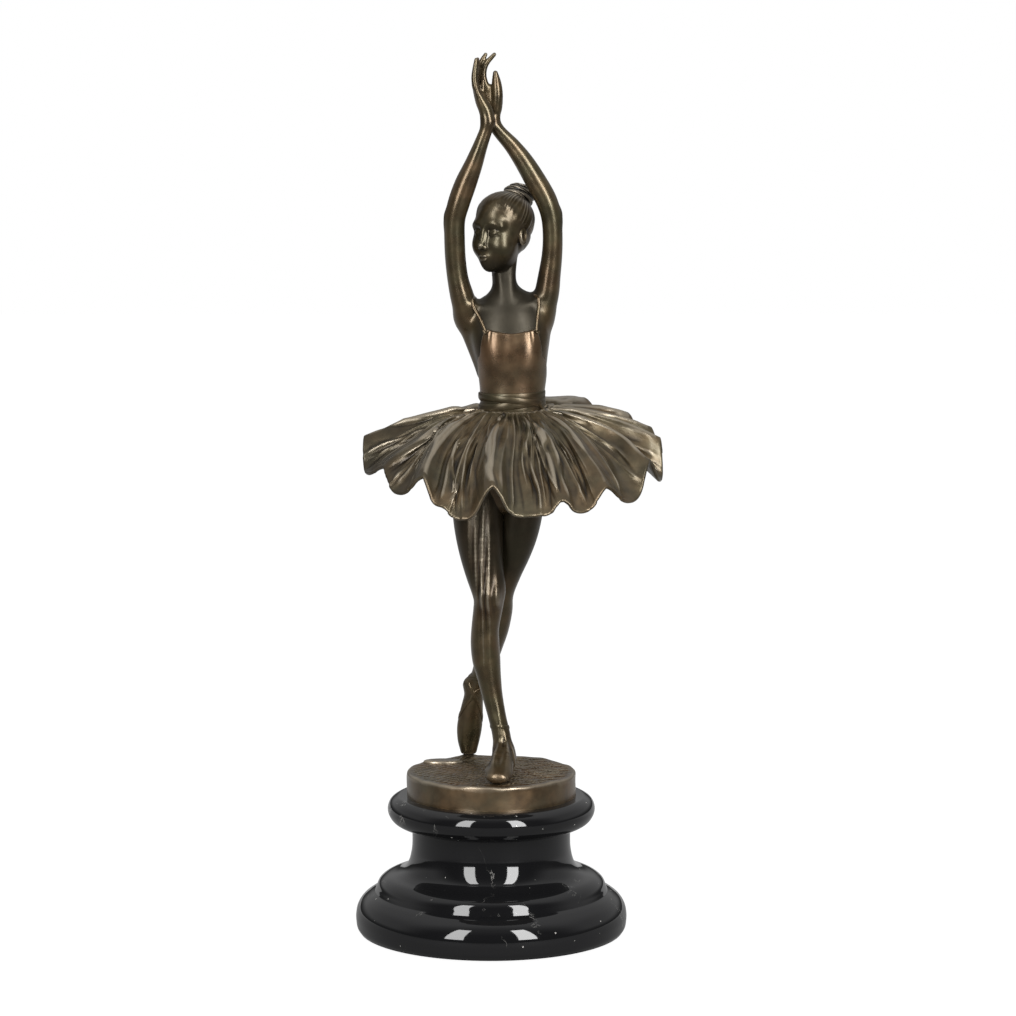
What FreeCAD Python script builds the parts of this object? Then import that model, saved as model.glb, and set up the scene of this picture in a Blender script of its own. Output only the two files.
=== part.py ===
import FreeCAD, Part

import math
import os

# Bronze ballerina statuette on a turned marble base, in millimetres.
# The dancer stands in a wide short skirt with both arms raised and crossed at the wrists.
# Frame: origin on the base's axis at the felt's underside, +Z up, the dancer faces -Y.
# The figure is an assembly of cast sections, pinned and brazed together.  One stud runs from
# the bronze ground disc through the marble to a washer and nut in a recess under it.

V = FreeCAD.Vector

# ---- base and its fixing -------------------------------------------------------------
FELT_RADIUS = 45.0
FELT_THICK = 1.0
BASE_RADIUS = 50.5            # widest part of the bottom moulding
STEP_RADIUS = 43.2            # second moulding
NECK_RADIUS = 29.8
COLLAR_RADIUS = 38.5          # rounded ring under the bronze
BASE_TOP = 52.4
STUD_RADIUS = 3.0             # M6
STUD_HOLE_RADIUS = 3.6
RECESS_RADIUS = 14.0
RECESS_TOP = 17.0
WASHER_RADIUS = 9.0
WASHER_THICK = 1.6
NUT_FLATS = 10.0
NUT_THICK = 5.0
STUD_BELOW_NUT = 2.5

# ---- bronze ground disc --------------------------------------------------------------
DISC_RADIUS = 31.8
DISC_HEIGHT = 9.1
DISC_WALL = 2.6
BOSS_RADIUS = 7.5
STUD_IN_BOSS = 5.5
GROUND = BASE_TOP + DISC_HEIGHT
TABLET_SIZE = (7.4, 3.4, 1.1)  # half length, half width, height
TABLET_PLACE = (-18.4, 16.5)
MOUND_HEIGHT = 1.7
PIN_RADIUS = 1.0
PIN_LENGTH = 7.0

# ---- levels and joints of the figure -------------------------------------------------
LEG_TOP = 172.0
WAIST = 198.0
SASH_TOP = 204.6
BODICE_TOP = 228.0
FRONT_ANKLE = V(4.9, -6.0, 72.0)
FRONT_TOE = V(1.8, -26.4, GROUND)
REAR_TOE = V(-8.8, 23.6, GROUND + MOUND_HEIGHT)
HEAD_CENTRE = V(4.0, 0.6, 263.6)
HEAD_HEIGHT = 29.8            # chin to crown
HEAD_TURN = -38.0             # degrees, towards the dancer's right
RIGHT_SHOULDER = V(-9.8, 1.0, 238.0)
LEFT_SHOULDER = V(20.9, 2.0, 240.0)
ARM_PIN_RADIUS = 0.8
ARM_PIN_LENGTH = 7.0

# ---- skirt ---------------------------------------------------------------------------
SKIRT_THICK = 1.5
SKIRT_REACH = 54.5            # from the waist's centre to the hem
SKIRT_CENTRE = V(8.0, 1.0, 0.0)
SKIRT_WAIST = (11.2, 8.0)     # half width and half depth of its inner edge, inside the hips
HEM_DROP = 17.0
HEM_TILT = 9.5                # the hem hangs this much lower in front than at the sides
HEM_FOLDS = 14
FOLD_HEIGHT = 5.6

SECTION_POINTS = 10


def oval(centre, half_width, half_depth, normal=V(0, 0, 1), across=V(1, 0, 0)):
    """Closed smooth section: half_width along across, half_depth at right angles to it."""
    n = V(normal).normalize()
    side = V(across) - n * across.dot(n)
    side.normalize()
    deep = n.cross(side)
    points = []
    for i in range(SECTION_POINTS):
        a = 2 * math.pi * i / SECTION_POINTS
        points.append(centre + side * (half_width * math.cos(a)) + deep * (half_depth * math.sin(a)))
    curve = Part.BSplineCurve()
    curve.interpolate(Points=points, PeriodicFlag=True)
    return Part.Wire([curve.toShape()])


def loft(sections):
    return Part.makeLoft(sections, True, False)


def stack(rows):
    """Loft through level sections.  A row is x, y, z, half width, half depth."""
    return loft([oval(V(x, y, z), w, d) for x, y, z, w, d in rows])


def limb(rows, level_start=False):
    """Loft square to a bent centreline.  A row is x, y, z, half width, half depth."""
    centres = [V(*row[:3]) for row in rows]
    sections = []
    for i, (centre, row) in enumerate(zip(centres, rows)):
        along = centres[min(i + 1, len(rows) - 1)] - centres[max(i - 1, 0)]
        if level_start and i == 0:
            along = V(0, 0, -1)
        sections.append(oval(centre, row[3], row[4], along))
    return loft(sections)


def ellipsoid(centre, half_x, half_y, half_z, turn=0.0):
    """Closed loft of level ovals, turned about the vertical."""
    across = V(math.cos(math.radians(turn)), math.sin(math.radians(turn)), 0)
    sections = []
    for latitude in (-84, -60, -35, -10, 15, 40, 64, 84):
        a = math.radians(latitude)
        at = centre + V(0, 0, half_z * math.sin(a))
        sections.append(oval(at, half_x * math.cos(a), half_y * math.cos(a), V(0, 0, 1), across))
    return loft(sections)


def rod(start, along, radius, length):
    return Part.makeCylinder(radius, length, start, V(along))


def pin_hole(centre, along, radius, length):
    """A rod centred on a joint, used both as a pin and as the hole that takes it."""
    direction = V(along).normalize()
    return rod(centre - direction * (length / 2), direction, radius, length)


def turned(outline):
    """Solid of revolution from edges in the XZ plane."""
    return Part.Face(Part.Wire(outline)).revolve(V(0, 0, 0), V(0, 0, 1), 360)


def line(a, b):
    return Part.LineSegment(V(a[0], 0, a[1]), V(b[0], 0, b[1])).toShape()


def arc(a, via, b):
    return Part.Arc(V(a[0], 0, a[1]), V(via[0], 0, via[1]), V(b[0], 0, b[1])).toShape()


# ---- base and fixing -----------------------------------------------------------------
def felt_pad():
    return Part.makeCylinder(FELT_RADIUS, FELT_THICK)


def marble_base():
    """Bottom torus, second moulding, hollow neck and collar ring, drilled for the stud."""
    foot = (BASE_RADIUS - 0.9, FELT_THICK)
    belly = (BASE_RADIUS - 0.1, 7.4)
    shelf = (STEP_RADIUS, 16.3)
    step = (STEP_RADIUS - 0.3, 19.2)
    brow = (STEP_RADIUS - 5.2, 23.4)
    neck_low = (NECK_RADIUS, 31.0)
    neck_high = (NECK_RADIUS, 37.6)
    under_ring = (NECK_RADIUS + 1.6, 39.4)
    ring_top = (COLLAR_RADIUS - 4.3, BASE_TOP)
    outline = [
        line((RECESS_RADIUS, FELT_THICK), foot),
        arc(foot, (BASE_RADIUS, 4.4), belly),
        arc(belly, (BASE_RADIUS - 2.6, 13.2), shelf),
        line(shelf, step),
        arc(step, (STEP_RADIUS - 1.9, 22.1), brow),
        arc(brow, (NECK_RADIUS + 2.6, 26.0), neck_low),
        line(neck_low, neck_high),
        line(neck_high, under_ring),
        arc(under_ring, (COLLAR_RADIUS, 46.9), ring_top),
        line(ring_top, (STUD_HOLE_RADIUS, BASE_TOP)),
        line((STUD_HOLE_RADIUS, BASE_TOP), (STUD_HOLE_RADIUS, RECESS_TOP)),
        line((STUD_HOLE_RADIUS, RECESS_TOP), (RECESS_RADIUS, RECESS_TOP)),
        line((RECESS_RADIUS, RECESS_TOP), (RECESS_RADIUS, FELT_THICK)),
    ]
    return turned(outline)


def flat_washer():
    at = V(0, 0, RECESS_TOP - WASHER_THICK)
    ring = Part.makeCylinder(WASHER_RADIUS, WASHER_THICK, at)
    return ring.cut(Part.makeCylinder(STUD_HOLE_RADIUS - 0.4, WASHER_THICK, at))


def hex_nut():
    bottom = RECESS_TOP - WASHER_THICK - NUT_THICK
    corner = NUT_FLATS / 2 / math.cos(math.radians(30))
    corners = [V(corner * math.cos(math.radians(60 * i)), corner * math.sin(math.radians(60 * i)), bottom)
               for i in range(7)]
    blank = Part.Face(Part.makePolygon(corners)).extrude(V(0, 0, NUT_THICK))
    chamfer = Part.makeCone(corner - 0.6, corner - 0.6 + NUT_THICK * 2, NUT_THICK, V(0, 0, bottom))
    return blank.common(chamfer).cut(Part.makeCylinder(STUD_RADIUS, NUT_THICK, V(0, 0, bottom)))


def threaded_stud():
    bottom = RECESS_TOP - WASHER_THICK - NUT_THICK - STUD_BELOW_NUT
    return Part.makeCylinder(STUD_RADIUS, BASE_TOP + STUD_IN_BOSS - bottom, V(0, 0, bottom))


# ---- ground --------------------------------------------------------------------------
def foot_pin_rods():
    front = V(FRONT_ANKLE.x, FRONT_ANKLE.y, GROUND)
    rear = V(REAR_TOE)
    return [pin_hole(at, V(0, 0, 1), PIN_RADIUS, PIN_LENGTH) for at in (front, rear)]


def ground_disc():
    """Cast disc, hollow below, with a boss for the stud and a low mound under the rear toe."""
    disc = Part.makeCylinder(DISC_RADIUS, DISC_HEIGHT, V(0, 0, BASE_TOP))
    disc = disc.makeFillet(0.8, [e for e in disc.Edges if e.BoundBox.ZMin > GROUND - 0.1])
    hollow = Part.makeCylinder(DISC_RADIUS - DISC_WALL, DISC_HEIGHT - DISC_WALL, V(0, 0, BASE_TOP))
    boss = Part.makeCylinder(BOSS_RADIUS, DISC_HEIGHT - DISC_WALL, V(0, 0, BASE_TOP))
    mound = Part.makeCone(7.4, 4.6, MOUND_HEIGHT, V(REAR_TOE.x, REAR_TOE.y - 1.0, GROUND))
    disc = disc.fuse(mound).cut(hollow.cut(boss))
    disc = disc.cut(Part.makeCylinder(STUD_RADIUS, STUD_IN_BOSS, V(0, 0, BASE_TOP)))
    for rod_hole in foot_pin_rods():
        disc = disc.cut(rod_hole)
    return disc


def oval_tablet():
    half_length, half_width, height = TABLET_SIZE
    at = V(TABLET_PLACE[0], TABLET_PLACE[1], GROUND)
    across = V(1, 0.18, 0)
    low = oval(at, half_length, half_width, V(0, 0, 1), across)
    high = oval(at + V(0, 0, height), half_length - 0.5, half_width - 0.5, V(0, 0, 1), across)
    return loft([low, high])


# ---- legs ----------------------------------------------------------------------------
def foot_pins():
    return Part.makeCompound(foot_pin_rods())


def front_leg():
    """Dancer's right leg, flat in a soft shoe, with the toe towards -Y."""
    leg = limb([
        (-5.3, 1.0, LEG_TOP, 8.2, 9.6),
        (-5.6, 0.2, 165.0, 8.5, 9.5),
        (-5.7, -0.6, 157.5, 8.6, 9.2),
        (-4.6, -2.2, 147.5, 7.7, 8.2),
        (-2.3, -3.9, 138.5, 6.9, 7.3),
        (-0.4, -5.2, 129.5, 5.9, 6.4),
        (-1.4, -5.0, 121.5, 5.2, 5.7),
        (-2.5, -4.0, 112.0, 5.3, 6.0),
        (-1.7, -3.8, 103.5, 5.2, 5.9),
        (0.2, -4.6, 93.0, 4.2, 4.8),
        (2.4, -5.4, 82.5, 3.4, 3.8),
        (FRONT_ANKLE.x, FRONT_ANKLE.y, FRONT_ANKLE.z, 3.4, 3.9),
        (FRONT_ANKLE.x, FRONT_ANKLE.y + 0.3, GROUND, 3.5, 4.9),
    ], level_start=True)
    foot = limb([
        (FRONT_ANKLE.x + 0.1, -0.4, GROUND + 3.0, 2.6, 2.9),
        (FRONT_ANKLE.x, -5.0, GROUND + 4.2, 3.6, 4.2),
        (4.1, -12.0, GROUND + 3.4, 4.3, 3.4),
        (2.9, -19.0, GROUND + 2.4, 5.0, 2.4),
        (FRONT_TOE.x, FRONT_TOE.y, GROUND + 1.7, 3.4, 1.7),
    ])
    below = Part.makeBox(60, 60, 20, V(-30, -40, GROUND - 20))
    return drilled(leg.fuse(foot).cut(below), foot_pin_rods()[0])


def rear_leg():
    """Dancer's left leg, crossed behind and standing on the point of the shoe."""
    leg = limb([
        (11.5, 3.0, LEG_TOP, 7.9, 9.4),
        (11.1, 3.6, 165.0, 8.0, 9.3),
        (10.4, 4.4, 157.5, 8.0, 9.0),
        (8.3, 6.0, 147.0, 7.4, 8.1),
        (5.2, 8.0, 137.0, 6.6, 7.1),
        (3.0, 9.2, 127.5, 5.6, 6.3),
        (2.2, 11.4, 119.0, 5.1, 5.8),
        (0.6, 14.0, 111.0, 5.1, 5.9),
        (-1.8, 16.6, 102.5, 4.6, 5.4),
        (-4.4, 18.8, 95.0, 3.8, 4.6),
        (-6.3, 20.2, 88.0, 3.9, 4.2),
        (-7.6, 21.4, 80.0, 4.4, 3.8),
        (-8.7, 22.6, 72.5, 4.7, 4.2),
        (-8.9, 23.4, 67.5, 3.7, 3.4),
        (REAR_TOE.x, REAR_TOE.y, REAR_TOE.z, 2.6, 2.6),
    ], level_start=True)
    heel = ellipsoid(V(-8.4, 21.6, 89.4), 2.6, 3.0, 3.8)
    return drilled(leg.fuse(heel), foot_pin_rods()[1])


def drilled(shape, *rods):
    for hole in rods:
        shape = shape.cut(hole)
    return shape


def hips():
    return stack([
        (7.6, 0.6, WAIST, 12.4, 9.2),
        (6.6, 1.2, 192.0, 13.8, 10.4),
        (4.8, 1.8, 184.0, 15.6, 11.8),
        (3.4, 2.0, 177.0, 16.3, 12.0),
        (3.1, 2.0, LEG_TOP, 16.2, 11.4),
    ])


# ---- skirt ---------------------------------------------------------------------------
def skirt_height(reach, angle):
    """Height of the sheet at a share of its reach from waist to hem; angle 0 faces -Y."""
    drop = (HEM_DROP + HEM_TILT * math.cos(angle)) * reach ** 1.25
    wave = FOLD_HEIGHT * reach ** 1.4 * math.cos(HEM_FOLDS * angle)
    return WAIST - 0.6 - drop + wave


def skirt_poles(lift):
    """Control net of the sheet, closed round the waist, in rows from waist to hem."""
    per_fold = 6
    columns = HEM_FOLDS * per_fold
    net = []
    for i in range(columns):
        angle = 2 * math.pi * i / columns
        column = []
        for reach in (0.0, 0.1, 0.3, 0.55, 0.8, 1.0):
            across = SKIRT_WAIST[0] + (SKIRT_REACH - SKIRT_WAIST[0]) * reach
            deep = SKIRT_WAIST[1] + (SKIRT_REACH - SKIRT_WAIST[1]) * reach
            place = SKIRT_CENTRE + V(across * math.sin(angle), -deep * math.cos(angle), 0)
            column.append(place + V(0, 0, skirt_height(reach, angle) + lift))
        net.append(column)
    return net


def skirt_sheet(lift):
    net = skirt_poles(lift)
    rows = len(net[0])
    surface = Part.BSplineSurface()
    inner_knots = rows - 2
    surface.buildFromPolesMultsKnots(
        net,
        [1] * (len(net) + 1), [4] + [1] * (inner_knots - 2) + [4],
        list(range(len(net) + 1)), list(range(inner_knots)),
        True, False, 3, 3)
    return surface


def skirt():
    """Thin pleated shell: two wavy sheets joined along the waist and the hem."""
    top = skirt_sheet(0.0)
    under = skirt_sheet(-SKIRT_THICK)
    faces = [top.toShape(), under.toShape()]
    v_first, v_last = top.bounds()[2:]
    for v in (v_first, v_last):
        faces.append(Part.makeRuledSurface(top.vIso(v).toShape(), under.vIso(v).toShape()))
    shell = Part.makeShell(faces)
    shell.sewShape()
    solid = Part.makeSolid(Part.Shell(shell.Faces))
    return solid


# ---- trunk, head and arms ------------------------------------------------------------
def bodice():
    return stack([
        (7.6, 0.6, WAIST, 12.4, 9.2),
        (7.7, 0.3, SASH_TOP, 12.1, 9.0),
        (7.9, 0.0, 210.0, 12.7, 9.4),
        (7.8, -0.2, 217.0, 13.8, 10.0),
        (7.2, -0.1, 223.5, 15.2, 10.2),
        (6.9, 0.1, BODICE_TOP, 15.6, 9.6),
    ])


def sash():
    """Wrapped waistband, fitted round the bodice and a little full."""
    outer = stack([
        (7.6, 0.6, WAIST, 13.2, 10.0),
        (7.6, 0.5, (WAIST + SASH_TOP) / 2, 13.1, 10.0),
        (7.7, 0.3, SASH_TOP, 12.8, 9.7),
    ])
    return outer.cut(bodice())


def shoulder_joints():
    """Centre, direction and half widths of the two arm joints."""
    return (
        (RIGHT_SHOULDER, V(-0.22, -0.18, 1.0), 4.6, 4.8),
        (LEFT_SHOULDER, V(0.16, -0.17, 1.0), 4.6, 4.8),
    )


def bust():
    """Upper chest, shoulders, neck and head in one casting, with a plain egg-shaped face."""
    trunk = stack([
        (6.9, 0.1, BODICE_TOP, 15.6, 9.6),
        (6.6, 0.6, 232.0, 14.8, 8.6),
        (6.3, 1.2, 235.4, 11.8, 7.2),
        (6.0, 1.5, 238.4, 7.6, 5.8),
        (5.5, 1.7, 242.0, 4.9, 4.9),
        (5.0, 1.8, 247.0, 4.5, 4.6),
        (4.8, 1.9, 254.0, 4.6, 4.8),
    ])
    for centre, along, half_width, half_depth in shoulder_joints():
        inward = V(along).normalize()
        root = centre - inward * 9.0 + V(math.copysign(2.0, 6.0 - centre.x), 0, 0)
        trunk = trunk.fuse(loft([oval(root, 5.0, 5.6, inward), oval(centre, half_width, half_depth, inward)]))
    skull = ellipsoid(HEAD_CENTRE + V(0.8, 1.6, 3.4), 10.0, 12.2, HEAD_HEIGHT * 0.39, HEAD_TURN)
    face = ellipsoid(HEAD_CENTRE + V(-2.0, -2.6, -3.6), 7.6, 8.2, HEAD_HEIGHT * 0.38, HEAD_TURN)
    body = trunk.fuse([skull, face])
    return drilled(body, *arm_pin_rods())


def hair_bun():
    knot = ellipsoid(HEAD_CENTRE + V(5.8, 7.4, 12.6), 5.3, 5.3, 4.7)
    return knot.cut(bust())


def arm_pin_rods():
    return [pin_hole(centre, along, ARM_PIN_RADIUS, ARM_PIN_LENGTH)
            for centre, along, _, _ in shoulder_joints()]


def arm_pins():
    return Part.makeCompound(arm_pin_rods())


def arm(joint, rows):
    """Loft from the shoulder joint through the elbow and wrist to the fingertips."""
    centre, along, half_width, half_depth = joint
    sections = [oval(centre, half_width, half_depth, along)]
    centres = [centre] + [V(*row[:3]) for row in rows]
    for i, row in enumerate(rows, start=1):
        direction = centres[min(i + 1, len(rows))] - centres[i - 1]
        sections.append(oval(centres[i], row[3], row[4], direction))
    return loft(sections)


def right_arm():
    """Passes in front at the wrists; the hand is edge on to -Y."""
    return arm(shoulder_joints()[0], [
        (-11.7, -0.6, 247.0, 4.0, 4.2),
        (-13.0, -2.8, 257.0, 3.9, 4.0),
        (-13.6, -4.6, 267.0, 3.8, 4.0),
        (-12.0, -5.6, 275.5, 4.1, 4.1),
        (-8.1, -6.4, 285.0, 3.6, 3.6),
        (-4.1, -7.3, 294.5, 2.9, 2.8),
        (-1.2, -7.9, 302.5, 2.4, 2.3),
        (-2.0, -7.9, 308.0, 2.4, 2.7),
        (-3.8, -7.4, 313.8, 2.1, 3.5),
        (-4.8, -6.8, 319.5, 1.5, 3.1),
        (-5.3, -6.2, 326.4, 0.8, 1.6),
    ])


def left_arm():
    """Passes behind at the wrists; palm and thumb face -Y."""
    thumb = limb([
        (1.2, -2.6, 307.0, 1.2, 1.2),
        (2.2, -2.8, 310.0, 1.6, 1.6),
        (3.2, -3.4, 314.5, 1.5, 1.5),
        (2.6, -3.6, 319.0, 1.1, 1.1),
        (1.7, -3.6, 322.4, 0.6, 0.6),
    ])
    whole = arm(shoulder_joints()[1], [
        (22.1, 0.6, 249.5, 3.9, 4.1),
        (22.8, -1.2, 259.5, 3.8, 3.9),
        (22.2, -2.7, 269.5, 3.7, 3.9),
        (19.4, -3.2, 278.5, 4.0, 4.0),
        (13.9, -3.2, 287.5, 3.7, 3.6),
        (8.2, -2.9, 296.0, 3.1, 2.9),
        (3.2, -2.5, 303.2, 2.6, 2.3),
        (0.9, -2.4, 309.0, 3.4, 2.0),
        (-0.9, -2.2, 315.0, 3.6, 1.6),
        (-1.5, -1.6, 321.5, 2.8, 1.3),
        (-0.3, -0.9, 329.4, 1.7, 0.8),
    ])
    return whole.fuse(thumb)


def build():
    """Every node by name, cut back where two castings meet."""
    disc = ground_disc()
    front, rear = front_leg(), rear_leg()
    pelvis = hips()
    right, left = right_arm(), left_arm()
    upper = bust()
    holes = arm_pin_rods()
    return {
        "felt_pad": felt_pad(),
        "marble_base": marble_base(),
        "flat_washer": flat_washer(),
        "hex_nut": hex_nut(),
        "threaded_stud": threaded_stud(),
        "ground_disc": disc,
        "oval_tablet": oval_tablet(),
        "foot_pins": foot_pins(),
        "front_leg": front,
        "rear_leg": rear.cut(front).cut(disc),
        "hips": pelvis,
        "skirt": skirt().cut(pelvis),
        "bodice": bodice(),
        "sash": sash(),
        "bust": upper,
        "hair_bun": hair_bun(),
        "right_arm": drilled(right, holes[0]).cut(upper),
        "left_arm": drilled(left, holes[1]).cut(upper),
        "arm_pins": arm_pins(),
    }


os.makedirs("parts", exist_ok=True)
for node, shape in build().items():
    shape.exportStep(os.path.join("parts", node + ".step"))
    solids = shape.Solids
    print(node, len(solids), "solids", round(sum(s.Volume for s in solids), 1), "mm3",
          "valid" if shape.isValid() else "NOT VALID")
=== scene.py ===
import math

import bmesh
import bpy
import numpy as np
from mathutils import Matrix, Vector


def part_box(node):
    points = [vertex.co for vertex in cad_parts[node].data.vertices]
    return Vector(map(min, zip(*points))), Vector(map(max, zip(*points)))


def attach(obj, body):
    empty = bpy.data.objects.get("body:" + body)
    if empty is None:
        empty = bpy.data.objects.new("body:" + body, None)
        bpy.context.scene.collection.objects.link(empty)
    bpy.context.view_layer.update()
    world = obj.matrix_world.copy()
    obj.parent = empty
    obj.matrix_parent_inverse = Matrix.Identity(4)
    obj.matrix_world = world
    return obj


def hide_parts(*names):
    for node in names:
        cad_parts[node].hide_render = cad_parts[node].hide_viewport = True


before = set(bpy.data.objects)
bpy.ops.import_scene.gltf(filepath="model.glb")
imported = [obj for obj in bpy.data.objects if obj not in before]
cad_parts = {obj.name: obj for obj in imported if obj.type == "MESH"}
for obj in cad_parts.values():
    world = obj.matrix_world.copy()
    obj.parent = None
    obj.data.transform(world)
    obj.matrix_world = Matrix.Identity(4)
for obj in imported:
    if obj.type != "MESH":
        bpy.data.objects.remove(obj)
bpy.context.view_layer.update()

mm = 0.001
mesher = {"quickStep": 1.35, "softRounds": 12, "softShare": 0.6, "ribbonSides": 12}

# The figure is worked in millimetres, from the middle of the ground's top.
groundLow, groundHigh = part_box("ground_disc")
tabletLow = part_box("oval_tablet")[0]
origin = np.array([(groundLow.x + groundHigh.x) / 2, (groundLow.y + groundHigh.y) / 2, tabletLow.z])


def unit(v):
    v = np.asarray(v, float)
    return v / np.linalg.norm(v)


def blendMin(a, b, k):
    h = np.maximum(k - np.abs(a - b), 0) / k
    return np.minimum(a, b) - h * h * k * 0.25


def blendMax(a, b, k):
    return -blendMin(-a, -b, k)


def step01(low, high, x):
    t = np.clip((x - low) / (high - low), 0, 1)
    return t * t * (3 - 2 * t)


def ball(p, centre, radius):
    return np.linalg.norm(p - np.asarray(centre, p.dtype), axis=1) - radius


def egg(p, centre, radii, axes=None):
    q = p - np.asarray(centre, p.dtype)
    if axes is not None:
        q = q @ np.asarray(axes, p.dtype).T
    r = np.asarray(radii, p.dtype)
    k0 = np.linalg.norm(q / r, axis=1)
    k1 = np.linalg.norm(q / (r * r), axis=1)
    return k0 * (k0 - 1) / np.maximum(k1, 1e-9)


def stick(p, a, b, ra, rb):
    a, b = np.asarray(a, p.dtype), np.asarray(b, p.dtype)
    ab = b - a
    h = np.clip((p - a) @ ab / (ab @ ab), 0, 1)
    return np.linalg.norm(p - a - h[:, None] * ab, axis=1) - (ra + (rb - ra) * h)


# rows are the local axes after a turn about the vertical
def turned(degrees):
    a = math.radians(degrees)
    return np.array([[math.cos(a), math.sin(a), 0], [-math.sin(a), math.cos(a), 0], [0, 0, 1.0]])


def smoothRows(rows, steps):
    rows = np.array(rows, float)
    padded = np.vstack([2 * rows[0] - rows[1], rows, 2 * rows[-1] - rows[-2]])
    out = []
    for i in range(1, len(padded) - 2):
        a, b, c, d = padded[i - 1:i + 3]
        for s in range(steps):
            t = s / steps
            out.append(0.5 * (2 * b + (c - a) * t + (2 * a - 5 * b + 4 * c - d) * t * t
                              + (3 * b - a - 3 * c + d) * t ** 3))
    out.append(rows[-1])
    return np.array(out)


# A bent limb.  A row is x, y, z, half width, and half depth where the section is oval.
def tube(rows, steps=4, across=(1, 0, 0)):
    rows = [list(r) + [r[3]] if len(r) == 4 else list(r) for r in rows]
    pts = smoothRows(rows, steps)
    parts = []
    for a, b in zip(pts[:-1], pts[1:]):
        along = unit(b[:3] - a[:3])
        side = unit(np.array(across, float) - along * (np.array(across, float) @ along))
        parts.append((a, b, along, side, np.cross(along, side)))
    low = (pts[:, :3] - pts[:, 3:5].max(1)[:, None]).min(0)
    high = (pts[:, :3] + pts[:, 3:5].max(1)[:, None]).max(0)

    def field(p):
        gap = np.linalg.norm(np.maximum(np.maximum(low - p, p - high), 0), axis=1)
        near = gap < 6.0
        out = (gap + 4.0).astype(p.dtype)
        q = p[near]
        best = np.full(len(q), 1e9, p.dtype)
        for a, b, along, side, deep in parts:
            ab = b[:3] - a[:3]
            rel = q - a[:3].astype(p.dtype)
            h = np.clip(rel @ ab.astype(p.dtype) / float(ab @ ab), 0, 1)
            rel = rel - h[:, None] * ab.astype(p.dtype)
            rs = (a[3] + (b[3] - a[3]) * h)
            rd = (a[4] + (b[4] - a[4]) * h)
            ra = np.minimum(rs, rd)
            u, v, w = rel @ side.astype(p.dtype), rel @ deep.astype(p.dtype), rel @ along.astype(p.dtype)
            k0 = np.sqrt((u / rs) ** 2 + (v / rd) ** 2 + (w / ra) ** 2)
            k1 = np.sqrt((u / rs ** 2) ** 2 + (v / rd ** 2) ** 2 + (w / ra ** 2) ** 2)
            best = np.minimum(best, k0 * (k0 - 1) / np.maximum(k1, 1e-9))
        out[near] = best
        return out

    return field


# Closed quads of the field's zero surface: coarse blocks first, then fine points near the surface.
def skinOf(field, low, high, step):
    coarse = 4
    low, high = np.array(low, float), np.array(high, float)
    cells = np.ceil((high - low) / (step * coarse)).astype(int)
    ticks = [low[i] + step * coarse * np.arange(cells[i] + 1) for i in range(3)]
    grid = np.stack(np.meshgrid(*ticks, indexing="ij"), -1).astype(np.float32)
    rough = field(grid.reshape(-1, 3)).reshape(grid.shape[:3])
    close = np.abs(rough) < step * coarse * 1.3
    live = np.zeros(cells, bool)
    corners = [(i, j, k) for i in (0, 1) for j in (0, 1) for k in (0, 1)]
    for i, j, k in corners:
        live |= close[i:cells[0] + i, j:cells[1] + j, k:cells[2] + k]
    fine = cells * coarse
    liveFine = live.repeat(coarse, 0).repeat(coarse, 1).repeat(coarse, 2)
    mask = np.zeros(fine + 1, bool)
    for i, j, k in corners:
        mask[i:fine[0] + i, j:fine[1] + j, k:fine[2] + k] |= liveFine
    values = np.where(rough > 0, 9.0, -9.0).astype(np.float32)
    values = values.repeat(coarse, 0).repeat(coarse, 1).repeat(coarse, 2)
    values = values[:fine[0] + 1, :fine[1] + 1, :fine[2] + 1].copy()
    where = np.argwhere(mask)
    values[mask] = field((low + where * step).astype(np.float32))
    inside = values < 0
    count = np.zeros(fine, np.uint8)
    for i, j, k in corners:
        count += inside[i:fine[0] + i, j:fine[1] + j, k:fine[2] + k]
    cross = (count > 0) & (count < 8)
    index = np.full(fine, -1, np.int64)
    cell = np.argwhere(cross)
    index[cross] = np.arange(len(cell))
    total = np.zeros((len(cell), 3))
    number = np.zeros(len(cell))
    for axis in range(3):
        others = [i for i in range(3) if i != axis]
        for b in (0, 1):
            for c in (0, 1):
                offset = np.zeros(3, int)
                offset[others[0]], offset[others[1]] = b, c
                one = cell + offset
                two = one.copy()
                two[:, axis] += 1
                d0 = values[one[:, 0], one[:, 1], one[:, 2]]
                d1 = values[two[:, 0], two[:, 1], two[:, 2]]
                hit = (d0 < 0) != (d1 < 0)
                t = d0[hit] / (d0[hit] - d1[hit])
                at = np.tile(offset.astype(float), (hit.sum(), 1))
                at[:, axis] = t
                total[hit] += at
                number[hit] += 1
    verts = low + step * (cell + total / number[:, None])
    quads = []
    for axis in range(3):
        o1, o2 = (axis + 1) % 3, (axis + 2) % 3
        a = np.take(inside, range(fine[axis]), axis)
        b = np.take(inside, range(1, fine[axis] + 1), axis)
        edge = np.argwhere(a != b)
        for other in (o1, o2):
            edge = edge[(edge[:, other] > 0) & (edge[:, other] < fine[other])]
        starts = a[edge[:, 0], edge[:, 1], edge[:, 2]]
        ring = []
        for s1, s2 in ((-1, -1), (0, -1), (0, 0), (-1, 0)):
            e = edge.copy()
            e[:, o1] += s1
            e[:, o2] += s2
            ring.append(index[e[:, 0], e[:, 1], e[:, 2]])
        ring = np.stack(ring, 1)
        ring[~starts] = ring[~starts][:, ::-1]
        quads.append(ring)
    return verts, np.vstack(quads)


def slopeOf(field, p, eps=0.04):
    out = np.zeros_like(p)
    for axis in range(3):
        shift = np.zeros(3)
        shift[axis] = eps
        out[:, axis] = field(p + shift) - field(p - shift)
    return out / (2 * eps)


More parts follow.
